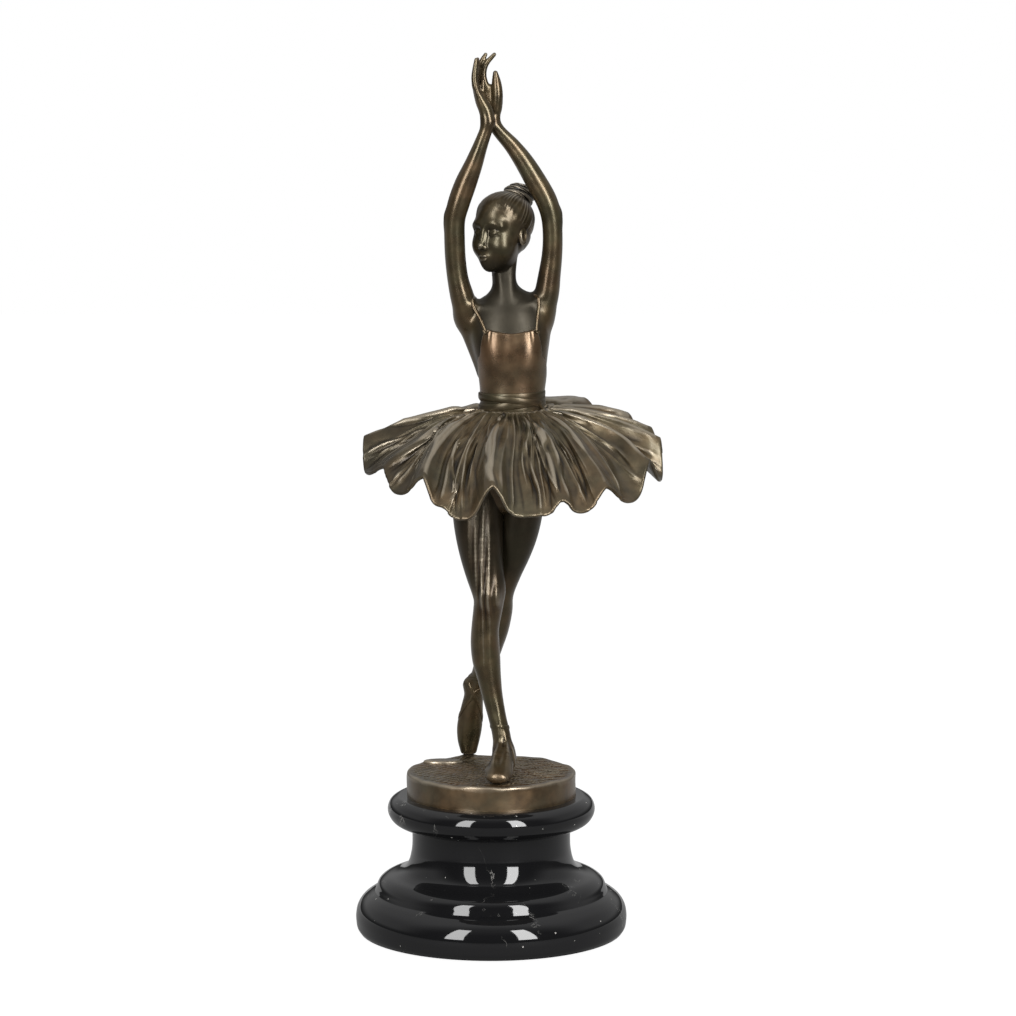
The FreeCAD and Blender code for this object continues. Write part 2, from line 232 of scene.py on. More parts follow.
def neighbours(quads):
    edges = np.vstack([quads[:, [0, 1]], quads[:, [1, 2]], quads[:, [2, 3]], quads[:, [3, 0]]])
    return np.vstack([edges, edges[:, ::-1]])


# each point's mean over the points it shares an edge with
def average(values, pairs):
    here, there = pairs.T
    total = np.stack([np.bincount(here, column[there], len(values)) for column in values.T], 1)
    return total / np.maximum(np.bincount(here, minlength=len(values)), 1)[:, None]


# Evens the points out along the surface and puts them exactly on it.
def settle(field, verts, quads, step, rounds=3):
    pairs = neighbours(quads)
    for i in range(rounds):
        slope = slopeOf(field, verts)
        size = np.maximum((slope ** 2).sum(1), 0.2)
        move = field(verts)[:, None] * slope / size[:, None]
        length = np.linalg.norm(move, axis=1, keepdims=True)
        verts = verts - move * np.minimum(1, step / np.maximum(length, 1e-9))
        if i < rounds - 1:
            normal = slope / np.sqrt(size)[:, None]
            drift = average(verts, pairs) - verts
            drift -= normal * (drift * normal).sum(1, keepdims=True)
            verts = verts + 0.6 * drift
    return verts


# verts in millimetres from the figure's origin; faces all have the same number of corners
def meshObject(name, verts, faces):
    verts = np.asarray(verts, float) * mm + origin
    faces = np.asarray(faces)
    mesh = bpy.data.meshes.new(name)
    mesh.vertices.add(len(verts))
    mesh.vertices.foreach_set("co", verts.astype(np.float32).ravel())
    mesh.loops.add(faces.size)
    mesh.loops.foreach_set("vertex_index", faces.astype(np.int32).ravel())
    mesh.polygons.add(len(faces))
    mesh.polygons.foreach_set("loop_start", (np.arange(len(faces)) * faces.shape[1]).astype(np.int32))
    mesh.update(calc_edges=True)
    mesh.validate()
    mesh.polygons.foreach_set("use_smooth", [True] * len(mesh.polygons))
    thing = bpy.data.objects.new(name, mesh)
    bpy.context.scene.collection.objects.link(thing)
    return thing


# a number, or what a function of the points gives
def valueAt(points, value):
    return value(points) if callable(value) else np.full(len(points), float(value))


# soften is how much of each round of smoothing the points get, from 0 to 1
def sculpt(name, field, low, high, step, soften=0.12):
    verts, quads = skinOf(field, low, high, step)
    verts = settle(field, verts, quads, step)
    pairs = neighbours(quads)
    amount = valueAt(verts, soften)
    for _ in range(mesher["softRounds"]):
        verts = verts + (average(verts, pairs) - verts) * amount[:, None] * mesher["softShare"]
    thing = meshObject(name, verts, quads)
    print("sculpted", name, len(verts), "points")
    return thing


# Cuts away what lies above a height (side 1) or below it (side -1), and caps the cut flat.
def trim(thing, height, side, onlyX=None):
    point = (0, 0, height * mm + origin[2])
    bm = bmesh.new()
    bm.from_mesh(thing.data)
    parts = bm.verts[:] + bm.edges[:] + bm.faces[:]
    if onlyX is not None:
        low, high = onlyX[0] * mm + origin[0], onlyX[1] * mm + origin[0]
        verts = [v for v in bm.verts if low < v.co.x < high]
        chosen = set(verts)
        faces = [f for f in bm.faces if all(v in chosen for v in f.verts)]
        edges = {e for f in faces for e in f.edges}
        parts = verts + list(edges) + faces
    bmesh.ops.bisect_plane(bm, geom=parts, plane_co=point, plane_no=(0, 0, side), clear_outer=True, dist=1e-7)
    filled = bmesh.ops.holes_fill(bm, edges=[e for e in bm.edges if e.is_boundary], sides=0)["faces"]
    for face in filled:
        face.smooth = False
        for e in face.edges:
            e.smooth = False
    bmesh.ops.triangulate(bm, faces=filled)
    bm.to_mesh(thing.data)
    bm.free()
    return thing


def edgesOf(mesh):
    edges = np.zeros(len(mesh.edges) * 2, np.int32)
    mesh.edges.foreach_get("vertices", edges)
    return edges.reshape(-1, 2)


# Keeps the largest island of a mesh.
def largestOnly(thing):
    mesh = thing.data
    edges = edgesOf(mesh)
    label = np.arange(len(mesh.vertices))
    while True:
        best = np.minimum(label[edges[:, 0]], label[edges[:, 1]])
        new = label.copy()
        for end in (0, 1):
            np.minimum.at(new, edges[:, end], best)
        new = new[new]
        if (new == label).all():
            break
        label = new
    names, counts = np.unique(label, return_counts=True)
    keep = names[counts.argmax()]
    if len(names) > 1:
        bm = bmesh.new()
        bm.from_mesh(mesh)
        bmesh.ops.delete(bm, geom=[v for v in bm.verts if label[v.index] != keep], context="VERTS")
        bm.to_mesh(mesh)
        bm.free()
    return thing


# values: a number, or one for each point
def storeValues(thing, label, values):
    layer = thing.data.attributes.new(label, "FLOAT", "POINT")
    values = np.broadcast_to(values, len(thing.data.vertices))
    layer.data.foreach_set("value", np.clip(values, -2.5, 2.5).astype(np.float32))


def pointsOf(thing):
    co = np.zeros(len(thing.data.vertices) * 3, np.float32)
    thing.data.vertices.foreach_get("co", co)
    return (co.reshape(-1, 3) - origin) / mm


# Stores how far each point stands out (ridge, above 0) or lies in (hollow), for the patina: wear and painted
# highlight on ridges, dark patina and painted shade in hollows.
def markRelief(thing, field, reaches=(0.45, 1.7), weight=1.0):
    p = pointsOf(thing)
    middle = -6 * field(p)
    total = np.zeros(len(p))
    for reach in reaches:
        around = middle.copy()
        for axis in range(3):
            shift = np.zeros(3)
            shift[axis] = reach
            around = around + field(p + shift) + field(p - shift)
        total = total + around / reach ** 2
    storeValues(thing, "relief", total * valueAt(p, weight))


# The same from a mesh alone: how far a point stands out from its smoothed self.
def markMeshRelief(thing, scales, weight=1.0):
    mesh = thing.data
    co = pointsOf(thing)
    normal = np.zeros(len(co) * 3, np.float32)
    mesh.vertex_normals.foreach_get("vector", normal)
    edges = edgesOf(mesh)
    pairs = np.vstack([edges, edges[:, ::-1]])
    soft, done = co.copy(), 0
    relief = np.zeros((len(co), 1))
    for rounds, gain in scales:          # rounds rise from one scale to the next
        for _ in range(rounds - done):
            soft = 0.5 * soft + 0.5 * average(soft, pairs)
        done = rounds
        relief += ((co - soft) * normal.reshape(-1, 3)).sum(1)[:, None] * gain
    storeValues(thing, "relief", average(relief, pairs)[:, 0] * weight)


# Puts a number, a colour or another node's output on a socket.
def feed(tree, socket, value):
    if isinstance(value, bpy.types.NodeSocket):
        tree.links.new(value, socket)
    elif isinstance(value, tuple):
        socket.default_value = (*value, 1)
    elif value is not None:
        socket.default_value = value


# A value is a setting of the node or, where it has none of that name, an input's value.
def makeNode(tree, kind, **values):
    made = tree.nodes.new(kind)
    for key, value in values.items():
        if hasattr(made, key):
            setattr(made, key, value)
        else:
            made.inputs[key.replace("_", " ")].default_value = value
    return made


def mathOf(tree, kind, *values):
    made = makeNode(tree, "ShaderNodeMath", operation=kind)
    for socket, value in zip(made.inputs, values):
        feed(tree, socket, value)
    return made.outputs[0]


def newTree(name, inputs):
    tree = bpy.data.node_groups.new(name, "GeometryNodeTree")
    for label, kind, value in inputs:
        socket = tree.interface.new_socket(label, in_out="INPUT", socket_type="NodeSocket" + kind)
        if value is not None:
            socket.default_value = value
    tree.interface.new_socket("Mesh", in_out="OUTPUT", socket_type="NodeSocketGeometry")
    return tree, tree.nodes.new("NodeGroupInput"), tree.nodes.new("NodeGroupOutput")


# Realize Instances, Set Shade Smooth and Set Material close every tree.
def endTree(tree, geometry, given, out):
    real = tree.nodes.new("GeometryNodeRealizeInstances")
    smooth = tree.nodes.new("GeometryNodeSetShadeSmooth")
    paint = tree.nodes.new("GeometryNodeSetMaterial")
    tree.links.new(geometry, real.inputs[0])
    tree.links.new(real.outputs[0], smooth.inputs[0])
    tree.links.new(smooth.outputs[0], paint.inputs[0])
    tree.links.new(given.outputs["Material"], paint.inputs["Material"])
    tree.links.new(paint.outputs[0], out.inputs[0])


def makeRibbonTree():
    inputs = [("Path", "Geometry", None), ("Width", "Float", 0.002), ("Thickness", "Float", 0.0005),
              ("Sides", "Int", 12), ("Material", "Material", None)]
    tree, given, out = newTree("ribbonAlongPath", inputs)
    link = tree.links.new
    curve = makeNode(tree, "GeometryNodeMeshToCurve")
    link(given.outputs["Path"], curve.inputs[0])
    aim = makeNode(tree, "GeometryNodeSetCurveNormal", mode="FREE")
    facing = makeNode(tree, "GeometryNodeInputNamedAttribute", data_type="FLOAT_VECTOR", Name="facing")
    link(curve.outputs[0], aim.inputs[0])
    link(facing.outputs[0], aim.inputs["Normal"])
    taper = makeNode(tree, "GeometryNodeInputNamedAttribute", data_type="FLOAT", Name="taper")
    section = makeNode(tree, "GeometryNodeCurvePrimitiveCircle", Radius=0.5)
    link(given.outputs["Sides"], section.inputs["Resolution"])
    flat = makeNode(tree, "GeometryNodeTransform")
    size = makeNode(tree, "ShaderNodeCombineXYZ", Z=1.0)
    link(given.outputs["Thickness"], size.inputs[0])    # the section's X points along the facing
    link(given.outputs["Width"], size.inputs[1])
    link(section.outputs[0], flat.inputs[0])
    link(size.outputs[0], flat.inputs["Scale"])
    sweep = makeNode(tree, "GeometryNodeCurveToMesh", Fill_Caps=True)
    link(aim.outputs[0], sweep.inputs["Curve"])
    link(flat.outputs[0], sweep.inputs["Profile Curve"])
    link(taper.outputs[0], sweep.inputs["Scale"])
    endTree(tree, sweep.outputs[0], given, out)
    return tree


# Turns the profile's points (radius along X, height along Z) round the Z axis.
def makeLatheTree():
    inputs = [("Profile", "Geometry", None), ("Steps", "Int", 256), ("Rows", "Int", 100),
              ("Material", "Material", None)]
    tree, given, out = newTree("turnedProfile", inputs)
    new, link = tree.nodes.new, tree.links.new

    def sums(kind, a, b=None):
        return mathOf(tree, kind, a, b)

    grid = new("GeometryNodeMeshGrid")
    link(sums("ADD", given.outputs["Steps"], 1), grid.inputs["Vertices X"])
    link(given.outputs["Rows"], grid.inputs["Vertices Y"])
    place = new("GeometryNodeInputPosition")
    split = new("ShaderNodeSeparateXYZ")
    link(place.outputs[0], split.inputs[0])
    angle = sums("MULTIPLY", split.outputs[0], 2 * math.pi)     # the grid is 1 m wide, centred
    row = sums("MULTIPLY", sums("ADD", split.outputs[1], 0.5), sums("SUBTRACT", given.outputs["Rows"], 1))
    sample = makeNode(tree, "GeometryNodeSampleIndex", data_type="FLOAT_VECTOR")
    link(given.outputs["Profile"], sample.inputs["Geometry"])
    link(place.outputs[0], sample.inputs["Value"])
    link(sums("ROUND", row), sample.inputs["Index"])
    point = new("ShaderNodeSeparateXYZ")
    link(sample.outputs[0], point.inputs[0])
    spun = new("ShaderNodeCombineXYZ")
    for i, kind in enumerate(("COSINE", "SINE")):
        link(sums("MULTIPLY", point.outputs[0], sums(kind, angle)), spun.inputs[i])
    link(point.outputs[2], spun.inputs[2])
    move = new("GeometryNodeSetPosition")
    link(grid.outputs[0], move.inputs[0])
    link(spun.outputs[0], move.inputs["Position"])
    merge = makeNode(tree, "GeometryNodeMergeByDistance", Distance=1e-6)
    link(move.outputs[0], merge.inputs[0])
    endTree(tree, merge.outputs[0], given, out)
    return tree


# Runs a node tree on a line of points and keeps its result as a plain mesh.
def growMesh(name, path, tree, closed=False, attributes=(), **values):
    path = np.asarray(path, float)
    line = bpy.data.meshes.new(name + "_path")
    edges = [(i, i + 1) for i in range(len(path) - 1)]
    if closed:
        edges.append((len(path) - 1, 0))
    line.from_pydata([tuple(p) for p in path], edges, [])
    for label, kind, data in attributes:
        layer = line.attributes.new(label, kind, "POINT")
        layer.data.foreach_set("vector" if kind == "FLOAT_VECTOR" else "value",
                               np.asarray(data, np.float32).ravel())
    carrier = bpy.data.objects.new(name + "_path", line)
    bpy.context.scene.collection.objects.link(carrier)
    modifier = carrier.modifiers.new("tree", "NODES")
    modifier.node_group = tree
    sockets = {item.name: item.identifier for item in tree.interface.items_tree if item.in_out == "INPUT"}
    for label, value in values.items():
        modifier[sockets[label]] = value
    mesh = bpy.data.meshes.new_from_object(carrier.evaluated_get(bpy.context.evaluated_depsgraph_get()))
    mesh.name = name
    bpy.data.objects.remove(carrier)
    bpy.data.meshes.remove(line)
    thing = bpy.data.objects.new(name, mesh)
    bpy.context.scene.collection.objects.link(thing)
    return thing


ribbonTree, latheTree = makeRibbonTree(), makeLatheTree()


# Puts points on a field's surface, lifted a little, and gives the surface's direction there.
def layOn(field, points, lift, rounds=6):
    p = np.asarray(points, float)
    for _ in range(rounds):
        slope = slopeOf(field, p, 0.15)
        slope = slope / np.maximum(np.linalg.norm(slope, axis=1, keepdims=True), 1e-6)
        p = p - (field(p) - lift)[:, None] * slope
    return p, slope


# A flat band laid over a surface through a few guide points.
def ribbonOn(name, field, rows, width, thickness, lift, closed=False, steps=12, taper=0.25, even=2):
    rows = np.array(rows, float)
    if closed:
        rows = np.vstack([rows[-1], rows, rows[:2]])
        path = smoothRows(rows, steps)[steps:-steps - 1]
    else:
        path = smoothRows(rows, steps)
    path, facing = layOn(field, path, lift)
    for _ in range(even):
        for line in (path, facing):
            line[1:-1] = line[1:-1] * 0.5 + (line[:-2] + line[2:]) * 0.25
    ends = np.ones(len(path))
    if not closed:
        reach = np.linspace(0, 1, len(path))
        ends = taper + (1 - taper) * step01(0, 0.08, np.minimum(reach, 1 - reach))
    return growMesh(name, path * mm + origin, ribbonTree, closed,
                    [("facing", "FLOAT_VECTOR", facing), ("taper", "FLOAT", ends)],
                    Width=width * mm, Thickness=thickness * mm, Sides=mesher["ribbonSides"], Material=bronze)


def newMaterial(name):
    material = bpy.data.materials.new(name)
    material.use_nodes = True
    tree = material.node_tree
    return material, tree, tree.nodes["Principled BSDF"]


def noiseOf(tree, place, scale, detail, roughness=0.5, distortion=0.0):
    made = makeNode(tree, "ShaderNodeTexNoise", Scale=scale, Detail=detail, Roughness=roughness,
                    Distortion=distortion)
    feed(tree, made.inputs["Vector"], place)
    return made.outputs["Fac"]


def spread(tree, source, low, high, to0=0.0, to1=1.0, **more):
    made = makeNode(tree, "ShaderNodeMapRange", From_Min=low, From_Max=high, To_Min=to0, To_Max=to1, **more)
    feed(tree, made.inputs["Value"], source)
    return made.outputs[0]


def mixOf(tree, factor, a, b, kind="RGBA"):
    made = makeNode(tree, "ShaderNodeMix", data_type=kind)
    for label, value in (("Factor", factor), ("A", a), ("B", b)):
        feed(tree, made.inputs[label], value)
    return made.outputs["Result"]


def attributeOf(tree, label):
    return makeNode(tree, "ShaderNodeAttribute", attribute_name=label).outputs["Fac"]


def objectPlace(tree):
    return tree.nodes.new("ShaderNodeTexCoord").outputs["Object"]


def addBump(tree, shader, height, strength, distance=0.0003):
    bump = makeNode(tree, "ShaderNodeBump", Strength=strength, Distance=distance)
    tree.links.new(height, bump.inputs["Height"])
    tree.links.new(bump.outputs[0], shader.inputs["Normal"])


def ramp(tree, source, stops):
    made = tree.nodes.new("ShaderNodeValToRGB")
    band = made.color_ramp
    while len(band.elements) < len(stops):
        band.elements.new(0.5)
    for element, (at, colour) in zip(band.elements, stops):
        element.position = at
        element.color = (*colour, 1)
    tree.links.new(source, made.inputs[0])
    return made.outputs[0]


patina = {
    # deep: how dark the hollows get, as dark patina and painted shade
    "deep": 0.14,            # how much of the colour is left in hollows
    # rub: the lighter colour of worn ridges, also laid on as a painted highlight
    "rubAndHighlight": (0.36, 0.31, 0.235),
    "rubAndHighlightMost": 0.8,
    # the dark matte patina colour, also laid on as painted shade
    "dullAndShade": (0.031, 0.026, 0.017),
    "dullRough": 0.12,
    "blotch": (0.80, 1.22),  # how far the small blotches darken and lighten
    "blotchRough": (-0.04, 0.10),
    "mottleScale": 60.0,
    "blotchScale": 170.0,
    "grainScale": 420.0,
    "coat": (0.35, 0.03),    # on bright and on dull bronze
}


# hollow and ridge say from which relief to which the dark patina with painted shade in hollows and the wear
# with painted highlight on ridges go from none to full
def bronzeMaterial(name, body, olive, rough=0.34, texture=0.04, uneven=0.6, hollow=(-1.7, -0.15),
                   ridge=(0.8, 2.4)):
    material, tree, shader = newMaterial(name)
    place = objectPlace(tree)
    mottle = noiseOf(tree, place, patina["mottleScale"], 5, 0.6)
    blotch = noiseOf(tree, place, patina["blotchScale"], 3)
    grain = noiseOf(tree, place, patina["grainScale"], 2)
    ground = makeNode(tree, "ShaderNodeVectorMath", operation="SCALE")
    feed(tree, ground.inputs[0], ramp(tree, mottle, [(0.36, body), (0.64, olive)]))
    feed(tree, ground.inputs["Scale"], spread(tree, blotch, 0.32, 0.68, *patina["blotch"]))
    shifted = spread(tree, blotch, 0.25, 0.75, -uneven / 2, uneven / 2)     # shifts where wear and dirt begin
    relief = mathOf(tree, "ADD", attributeOf(tree, "relief"), shifted)
    # dull patina on chest, head and sash, and painted shade on the thighs and on the skirt's left side
    dullAndShade = attributeOf(tree, "dullAndShade")
    plain = mixOf(tree, dullAndShade, ground.outputs[0], patina["dullAndShade"])
    # painted shade in hollows and painted highlight on ridges, over the patina's own dark and wear
    hollowPatinaAndShade = mixOf(tree, spread(tree, relief, *hollow), tuple(c * patina["deep"] for c in body), plain)
    wearAndHighlight = mixOf(tree, spread(tree, relief, *ridge, 0, patina["rubAndHighlightMost"]), hollowPatinaAndShade, patina["rubAndHighlight"])
    feed(tree, shader.inputs["Base Color"], wearAndHighlight)
    feed(tree, shader.inputs["Metallic"], 0.75)
    low, high = patina["blotchRough"]
    rougher = mathOf(tree, "ADD", spread(tree, blotch, 0.3, 0.7, rough + low, rough + high),
                     spread(tree, dullAndShade, 0, 1, 0, patina["dullRough"]))
    feed(tree, shader.inputs["Roughness"], rougher)
    feed(tree, shader.inputs["Coat Weight"], spread(tree, dullAndShade, 0, 1, *patina["coat"]))
    feed(tree, shader.inputs["Coat Roughness"], 0.24)
    addBump(tree, shader, grain, texture)
    return material


stone = {"black": (0.0065, 0.0065, 0.007), "fleck": (0.35, 0.34, 0.32), "veinScale": 24.0, "veinWidth": 0.006,
         "gap": (0.58, 0.72), "fleckScale": 420.0, "fleckSize": (0.10, 0.16), "fleckAbove": 0.93}


# thin broken veins and rare flecks on black
def marbleMaterial():
    material, tree, shader = newMaterial("black_marble")
    place = objectPlace(tree)
    cloud = noiseOf(tree, place, stone["veinScale"], 6.0, 0.6, 1.6)
    thin = mathOf(tree, "ABSOLUTE", mathOf(tree, "SUBTRACT", cloud, 0.5))
    line = spread(tree, thin, 0.0, stone["veinWidth"], 1.0, 0.0)
    gap = spread(tree, noiseOf(tree, place, stone["veinScale"] * 2.2, 3.0), *stone["gap"])
    cell = makeNode(tree, "ShaderNodeTexVoronoi", Scale=stone["fleckScale"])
    feed(tree, cell.inputs["Vector"], place)
    dot = spread(tree, cell.outputs["Distance"], *stone["fleckSize"], 1.0, 0.0)
    rare = tree.nodes.new("ShaderNodeSeparateColor")
    feed(tree, rare.inputs[0], cell.outputs["Color"])
    pick = mathOf(tree, "GREATER_THAN", rare.outputs[0], stone["fleckAbove"])
    both = mathOf(tree, "MAXIMUM", mathOf(tree, "MULTIPLY", line, gap), mathOf(tree, "MULTIPLY", dot, pick))
    feed(tree, shader.inputs["Base Color"], mixOf(tree, both, stone["black"], stone["fleck"]))
    feed(tree, shader.inputs["Roughness"], 0.045)
    feed(tree, shader.inputs["IOR"], 1.50)
    return material


def steelMaterial():
    material, tree, shader = newMaterial("zinc_steel")
    noise = noiseOf(tree, objectPlace(tree), 700.0, 4.0)
    zinc = ramp(tree, noise, [(0.3, (0.42, 0.43, 0.45)), (0.7, (0.62, 0.62, 0.60))])
    feed(tree, shader.inputs["Base Color"], zinc)
    feed(tree, shader.inputs["Metallic"], 1.0)
    feed(tree, shader.inputs["Roughness"], 0.32)
    return material


def feltMaterial():
    material, tree, shader = newMaterial("green_felt")
    noise = noiseOf(tree, objectPlace(tree), 1400.0, 6.0, 0.75)
    green = ramp(tree, noise, [(0.3, (0.006, 0.016, 0.010)), (0.7, (0.03, 0.06, 0.04))])
    feed(tree, shader.inputs["Base Color"], green)
    feed(tree, shader.inputs["Roughness"], 0.95)
    feed(tree, shader.inputs["Sheen Weight"], 0.6)
    addBump(tree, shader, noise, 0.6)
    return material


bronze = bronzeMaterial("bronze_patina", (0.104, 0.064, 0.031), (0.078, 0.065, 0.033), 0.27, 0.02)
bronzeHair = bronzeMaterial("bronze_hair", (0.052, 0.040, 0.028), (0.046, 0.039, 0.030), 0.40)
bronzeCloth = bronzeMaterial("bronze_bodice", (0.128, 0.075, 0.038), (0.098, 0.070, 0.038), 0.25, 0.01, 0.1,
                             (-3.2, -1.6), (1.4, 3.2))
bronzeSkirt = bronzeMaterial("bronze_skirt", (0.120, 0.083, 0.044), (0.094, 0.079, 0.046), 0.32, 0.03, 0.4,
                             (-1.6, -0.1), (0.8, 2.1))
bronzeGround = bronzeMaterial("bronze_ground", (0.134, 0.084, 0.042), (0.104, 0.084, 0.050), 0.32, 0.10, 0.5,
                              (-1.2, 0.0), (0.3, 1.6))
marble = marbleMaterial()
steel = steelMaterial()
felt = feltMaterial()
print("materials ready")


def finishPiece(thing, material, slot, *nodes):
    thing.data.materials.clear()
    thing.data.materials.append(material)
    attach(thing, "root")
    if nodes:
        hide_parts(*nodes)
    return thing


trunkRows = [
    (7.8, 0.6, 132.0, 11.7, 9.6), (7.7, 0.5, 138.0, 11.4, 9.6), (7.9, 0.3, 144.0, 11.6, 9.7),
    (8.0, 0.1, 150.0, 12.3, 9.8), (7.8, 0.0, 156.0, 13.1, 9.9), (7.2, 0.3, 162.0, 14.2, 9.9),
    (6.5, 0.8, 167.5, 14.6, 9.2), (6.1, 1.4, 172.0, 13.2, 7.6), (5.8, 1.8, 175.5, 10.0, 5.8),
]
neckRows = [
    (5.7, 2.0, 172.0, 6.4, 5.4), (5.4, 2.1, 178.0, 5.0, 4.9), (5.0, 2.0, 183.0, 4.5, 4.6),
    (4.7, 1.9, 188.0, 4.45, 4.6), (4.9, 2.0, 194.0, 4.8, 5.2), (5.2, 2.4, 200.0, 5.0, 5.6),
]
rightArmRows = [
    (-8.6, 2.4, 170.0, 4.6, 5.0), (-10.6, 1.0, 178.0, 4.45, 4.8), (-12.2, 0.2, 184.7, 3.95, 4.4),
    (-13.1, -0.9, 192.1, 3.85, 4.1), (-13.4, -2.2, 199.5, 3.85, 3.9), (-13.3, -3.2, 206.8, 3.85, 3.9),
    (-11.8, -4.0, 213.0, 4.1, 4.1), (-9.3, -4.8, 220.0, 4.05, 3.9), (-6.4, -5.9, 227.0, 3.4, 3.4),
    (-4.0, -6.9, 233.5, 2.75, 2.8), (-1.8, -7.6, 239.5, 2.4, 2.3), (-0.9, -7.8, 243.0, 2.5, 2.3),
]
leftArmRows = [
    (18.6, 2.8, 170.5, 4.6, 5.0), (20.6, 1.8, 179.0, 4.6, 4.8), (21.6, 1.0, 186.0, 4.2, 4.4),
    (22.5, 0.2, 193.0, 3.85, 4.1), (22.8, -0.8, 200.0, 3.7, 3.9), (22.3, -1.6, 207.5, 3.75, 3.9),
    (20.5, -2.1, 213.8, 4.0, 4.1), (16.8, -2.4, 220.5, 4.0, 3.9), (12.4, -2.6, 227.8, 3.6, 3.5),
    (8.0, -2.8, 233.8, 3.0, 2.9), (3.4, -3.0, 238.8, 2.5, 2.4), (0.8, -3.1, 242.4, 2.5, 2.3),
]
trunkTube, neckTube = tube(trunkRows), tube(neckRows)
rightArmTube, leftArmTube = tube(rightArmRows), tube(leftArmRows)


def trunkField(p):
    d = trunkTube(p)
    d = blendMin(d, stick(p, (-9.6, 4.2, 171), (-3.0, 3.6, 150), 3.9, 2.2), 3.0)
    d = blendMin(d, stick(p, (19.6, 4.6, 172), (17.0, 3.8, 150), 3.7, 2.2), 3.0)
    d = blendMin(d, stick(p, (-7.5, 2.2, 173.2), (1.0, 3.2, 174.4), 2.6, 2.6), 3.0)
    d = blendMin(d, stick(p, (17.5, 2.8, 175.4), (9.6, 3.4, 177.6), 2.7, 2.6), 3.0)
    for x in (-1.0, 15.2):
        d = blendMin(d, egg(p, (x, 7.0, 163), (4.6, 3.4, 7.4)), 3.0)   # shoulder blades
    d = blendMax(d, -stick(p, (7.6, 11.6, 138), (6.6, 11.0, 170), 1.5, 1.2), 2.6)   # line of the spine
    for x0, x1, z in ((4.0, -6.0, 174.6), (7.8, 17.0, 176.4)):
        d = blendMin(d, stick(p, (x0, -3.4, 173.6), (x1, -2.0, z), 0.7, 0.8), 2.2)   # collar bones
    d = blendMin(d, neckTube(p), 3.4)
    for x0, x1 in ((4.3, 2.6), (6.4, 7.4)):
        d = blendMin(d, stick(p, (x0 + 0.6, -2.6, 176.0), (x1, 0.6, 194.0), 0.9, 1.5), 2.4)   # neck muscles
    return d


def upperField(p):
    d = trunkField(p)
    d = blendMin(d, rightArmTube(p), 3.0)
    return blendMin(d, leftArmTube(p), 3.0)


# hands: sticks for each finger joint, blended into a palm
rightHand = {
    "palm": [(-1.0, -7.8, 242.0, 2.5, 2.2), (-1.7, -7.9, 246.5, 2.6, 2.3), (-3.4, -7.6, 250.0, 2.2, 2.9),
             (-4.9, -7.1, 253.4, 1.5, 3.4), (-5.7, -6.8, 256.2, 1.15, 3.3)],
    "fingers": [
        [(-5.6, -9.0, 255.4, 1.15), (-6.0, -9.2, 258.6, 1.1),
         (-5.7, -9.1, 262.0, 0.95), (-5.3, -8.8, 265.2, 0.68)],
        [(-5.5, -7.2, 256.0, 1.2), (-5.8, -7.3, 260.0, 1.1),
         (-5.2, -7.2, 263.4, 0.95), (-4.8, -7.0, 265.4, 0.7)],
        [(-5.4, -5.4, 255.6, 1.15), (-5.4, -5.5, 259.6, 1.0),
         (-4.8, -5.5, 262.6, 0.9), (-4.4, -5.4, 264.4, 0.65)],
        [(-5.0, -3.9, 254.6, 1.0), (-4.9, -4.0, 258.0, 0.9),
         (-4.3, -4.0, 260.4, 0.8), (-3.9, -4.0, 262.0, 0.6)],
        [(-2.6, -6.0, 247.4, 1.4), (-3.2, -5.0, 251.6, 1.3),
         (-3.0, -4.8, 255.0, 1.1), (-2.8, -4.8, 257.6, 0.75)],
    ],
}
leftHand = {
    "palm": [(0.6, -3.1, 242.0, 2.5, 2.1), (0.5, -3.3, 246.2, 3.2, 2.0), (0.4, -3.2, 250.6, 3.7, 1.8),
             (-1.2, -2.8, 254.6, 3.2, 1.5)],
    "fingers": [
        [(-1.4, -3.0, 254.6, 1.35), (-2.7, -3.2, 259.2, 1.15),
         (-1.9, -3.3, 263.5, 1.05), (1.3, -3.4, 267.2, 0.72)],
        [(-2.8, -2.6, 255.0, 1.3), (-4.1, -2.6, 260.4, 1.1),
         (-3.4, -2.6, 264.4, 1.0), (-1.9, -2.6, 267.2, 0.7)],
        [(-3.6, -1.8, 254.6, 1.2), (-5.0, -1.5, 258.8, 1.0),
         (-4.8, -1.4, 262.0, 0.9), (-3.9, -1.4, 264.4, 0.65)],
        [(-3.8, -1.2, 253.0, 1.0), (-5.4, -0.8, 256.6, 0.9),
         (-5.6, -0.6, 259.4, 0.8), (-5.1, -0.6, 261.4, 0.6)],
        [(2.0, -3.6, 247.4, 1.9), (2.4, -4.2, 252.0, 2.05),
         (2.1, -4.5, 256.6, 1.8), (1.7, -4.6, 260.4, 0.95)],
    ],
}


def handField(hand):
    palm = tube(hand["palm"])
    fingers = [tube(rows, 3) for rows in hand["fingers"]]

    def field(p):
        d = palm(p)
        for finger in fingers:
            d = blendMin(d, finger(p), 0.8)
        return d
    return field


rightHandField, leftHandField = handField(rightHand), handField(leftHand)


def rightArmField(p):
    d = blendMin(trunkField(p), rightArmTube(p), 3.0)
    d = blendMin(d, stick(p, (-14.0, -1.0, 205.6), (-14.1, -1.4, 208.0), 2.7, 2.7), 2.6)   # elbow
    return blendMin(d, rightHandField(p), 1.2)


def leftArmField(p):
    d = blendMin(trunkField(p), leftArmTube(p), 3.0)
    d = blendMin(d, stick(p, (23.2, 0.4, 206.6), (23.3, 0.2, 209.0), 2.6, 2.6), 2.6)
    return blendMin(d, leftHandField(p), 1.2)


rightCut, leftCut, neckCut = 177.6, 180.0, 186.0      # where the castings are joined


def belowHand(p):
    return 1.0 - 0.93 * step01(239, 244, p[:, 2])


